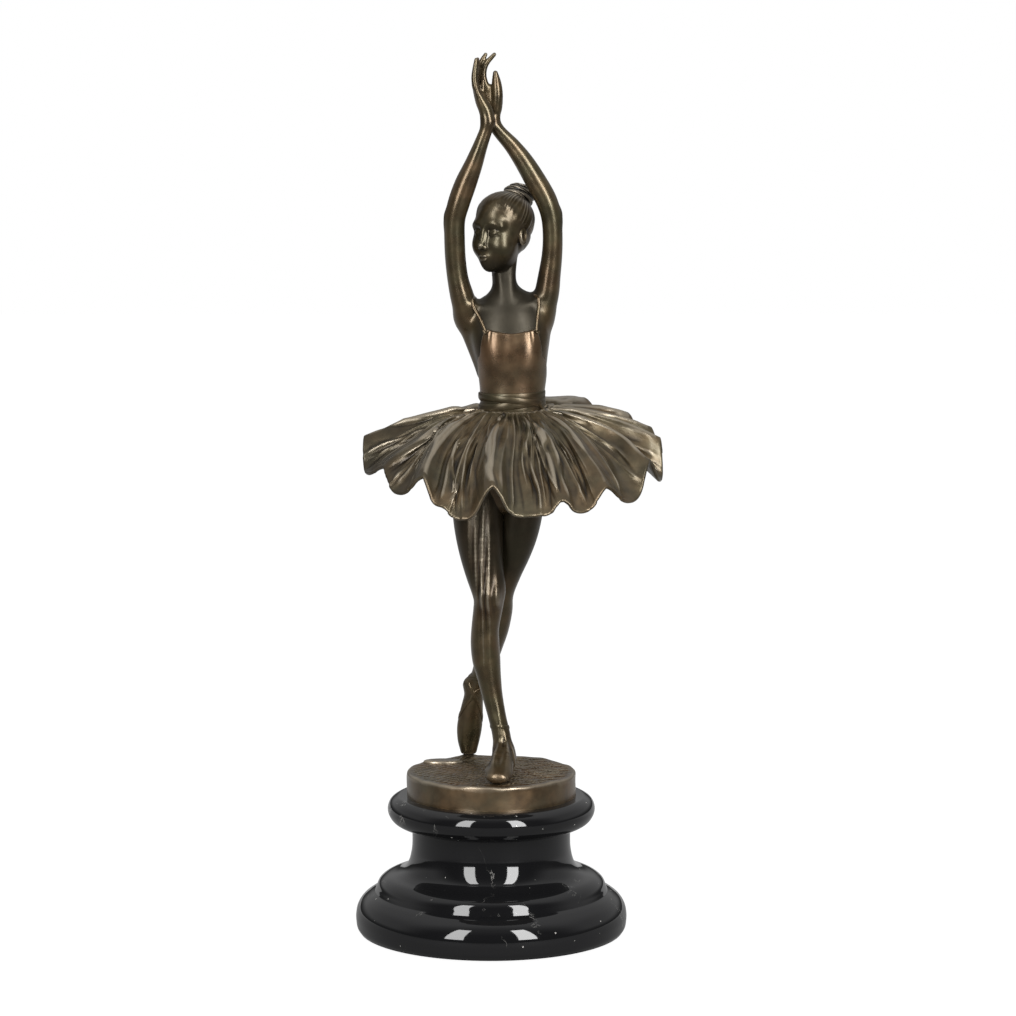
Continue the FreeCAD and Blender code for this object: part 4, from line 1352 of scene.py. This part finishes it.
# The modelled clay top: dragged strokes on one side, dabs on the other, and an uneven rim.
def groundMesh():
    random = np.random.default_rng(ground["seed"])
    turn = np.linspace(0, 2 * math.pi, ground["spokes"], endpoint=False)
    rim = 0.32 * np.cos(7 * turn + 1.0) + 0.22 * np.cos(12 * turn + 2.2) + 0.12 * np.cos(23 * turn)
    reach = np.linspace(0, 1, ground["rings"]) ** 0.85
    edge = ground["radius"] - 1.0
    r = reach[:, None] * (edge + 0 * turn)
    x, y = r * np.sin(turn), -r * np.cos(turn)
    strokes = np.tanh(1.2 * rippling(x, y, 9, 12.0, 2.9, random))
    dabs = np.tanh(1.2 * rippling(x, y, 12, 4.2, 3.4, random))
    small = rippling(x, y, 9, 1.5, 1.3, random)
    side = step01(-6, 8, x)
    z = 0.36 * side * strokes + 0.26 * (1 - side) * dabs + 0.10 * small - 0.25
    z = z + 2.1 * np.exp(-(((x + 8.8) ** 2 + (y - 23.6) ** 2) / 22.0))     # mound under the pointed toe
    quiet = step01(0.90, 1.0, reach)[:, None]
    z = z * (1 - quiet) + quiet * rim * 0.5
    top = np.stack([x, y, z], 2)
    wall = [ringAt(edge + math.sin(a), turn, rim * 0.5 - 1.0 * (1 - math.cos(a)))
            for a in np.radians([15, 35, 55, 75, 90])]                       # the rounded rim
    wall += [ringAt(edge + 1.0 + 0.10 * np.cos(5 * turn + 0.5 * h), turn, -h)
             for h in np.linspace(1.6, ground["height"], 22)]
    rings = np.concatenate([top[1:], np.array(wall)])
    count, columns = rings.shape[:2]
    verts = np.vstack([rings.reshape(-1, 3), top[0].mean(0, keepdims=True), [[0, 0, -ground["height"]]]])
    bm = bmesh.new()
    points = [bm.verts.new(v * mm + origin) for v in verts]
    for q in ringQuads(count, columns, False):
        bm.faces.new([points[i] for i in q])
    c = np.arange(columns)
    for a, b in zip(c, (c + 1) % columns):
        bm.faces.new([points[-2], points[a], points[b]])
        bm.faces.new([points[-1], points[(count - 1) * columns + b], points[(count - 1) * columns + a]])
    bmesh.ops.recalc_face_normals(bm, faces=bm.faces[:])
    for f in bm.faces:
        f.smooth = True
    mesh = bpy.data.meshes.new("ground_clay")
    bm.to_mesh(mesh)
    bm.free()
    thing = bpy.data.objects.new("ground_clay", mesh)
    bpy.context.scene.collection.objects.link(thing)
    mesh.set_sharp_from_angle(angle=math.radians(70))
    return thing


groundPiece = groundMesh()
below = pointsOf(groundPiece)[:, 2] < -2.5
markMeshRelief(groundPiece, [(4, 9.0), (24, 3.0)], np.where(below, 0, 1))
finishPiece(groundPiece, bronzeGround, "bronze", "ground_disc")


# A low oval boss with a soft edge; its face is left blank.
def tabletField(p):
    q = (p - np.array([-18.4, 16.5, 0], p.dtype)) / np.array([7.6, 3.5, 1.3], p.dtype)
    k = ((q ** 2)[:, 0] + (q ** 2)[:, 1]) ** 0.5
    return blendMax((k - 1) * 3.5, np.abs(p[:, 2]) - 1.0, 0.9)


tablet = sculpt("tablet", tabletField, (-28, 11, -2), (-9, 22, 3), 0.3)
markRelief(tablet, tabletField)
finishPiece(tablet, bronzeGround, "bronze", "oval_tablet")

for node, material in (("flat_washer", steel), ("hex_nut", steel), ("threaded_stud", steel),
                       ("felt_pad", felt), ("foot_pins", bronze), ("arm_pins", bronze)):
    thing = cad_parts[node]
    thing.data.materials.clear()
    thing.data.materials.append(material)
print("base ready")


stage = {"floor": (0.07, 0.07, 0.07), "floorGlow": 0.96, "floorNear": 0.014, "floorFar": 0.42,
         "boxAngle": 30.5, "boxHeight": 1.03, "boxDistance": 1.3, "boxSize": (0.36, 1.74),
         "boxPower": (22, 30),
         "roomFront": 0.008, "roomBack": 0.05, "roomBand": 0.34, "roomTop": 0.22, "roomSeen": 1.0}


def softBox(name, azimuth, power):
    a, distance = math.radians(azimuth), stage["boxDistance"]
    light = bpy.data.lights.new(name, "AREA")
    light.shape = "RECTANGLE"
    light.size, light.size_y = stage["boxSize"]
    light.energy = power
    thing = bpy.data.objects.new(name, light)
    bpy.context.scene.collection.objects.link(thing)
    thing.location = (distance * math.sin(a), -distance * math.cos(a), stage["boxHeight"])
    aim = np.array([-thing.location.x, -thing.location.y, 0])
    thing.rotation_euler = Vector(aim).to_track_quat("-Z", "Y").to_euler()


# one value for the camera, another for all other rays
def byCamera(tree, seen, rest):
    ray = tree.nodes.new("ShaderNodeLightPath").outputs["Is Camera Ray"]
    return mixOf(tree, ray, rest, seen, "FLOAT")


for side, power in zip((-1, 1), stage["boxPower"]):
    softBox(f"soft_box_{side}", side * stage["boxAngle"], power)

bpy.ops.mesh.primitive_plane_add(size=8, location=(0, 0, 0))
floor = bpy.context.object
floor.name = "floor"
floorMaterial, tree, shader = newMaterial("pale_floor")
feed(tree, shader.inputs["Base Color"], stage["floor"])
feed(tree, shader.inputs["Roughness"], 0.9)
along = tree.nodes.new("ShaderNodeSeparateXYZ")
feed(tree, along.inputs[0], objectPlace(tree))
# the sweep behind is lit, the floor in front less so
lit = spread(tree, along.outputs["Y"], -0.3, 0.3, stage["floorNear"], stage["floorFar"])
feed(tree, shader.inputs["Emission Color"], (1, 1, 1))
feed(tree, shader.inputs["Emission Strength"], byCamera(tree, stage["floorGlow"], lit))
floor.data.materials.append(floorMaterial)

world = bpy.data.worlds.new("studio")
bpy.context.scene.world = world
world.use_nodes = True
tree = world.node_tree
backdrop = tree.nodes["Background"]
parts = tree.nodes.new("ShaderNodeSeparateXYZ")
feed(tree, parts.inputs[0], tree.nodes.new("ShaderNodeTexCoord").outputs["Generated"])


def roomSpread(axis, low, high):
    return spread(tree, parts.outputs[axis], low, high, interpolation_type="SMOOTHSTEP")


# a dark room in front, a paler wall behind that is brightest above the horizon, and a pale ceiling
wall = mathOf(tree, "MULTIPLY_ADD", roomSpread("Z", 0.03, 0.25), stage["roomBand"], stage["roomBack"])
room = mathOf(tree, "MULTIPLY_ADD", wall, roomSpread("Y", -0.55, 0.05), stage["roomFront"])
room = mathOf(tree, "MULTIPLY_ADD", roomSpread("Z", 0.5, 1.0), stage["roomTop"], room)
feed(tree, backdrop.inputs["Strength"], byCamera(tree, stage["roomSeen"], room))
feed(tree, backdrop.inputs["Color"], (1, 1, 1))

bpy.context.scene.view_settings.view_transform = "Standard"
shot = {"place": (0.0063, -1.222, 0.3045), "down": 6.693, "lens": 116.86}
camera = bpy.data.cameras.new("camera")
camera.lens = shot["lens"]
camera.sensor_width = 36
camera.clip_start, camera.clip_end = 0.01, 50
cameraThing = bpy.data.objects.new("camera", camera)
bpy.context.scene.collection.objects.link(cameraThing)
cameraThing.location = shot["place"]
cameraThing.rotation_euler = (math.radians(90 - shot["down"]), 0, 0)
bpy.context.scene.camera = cameraThing

print("stage ready")
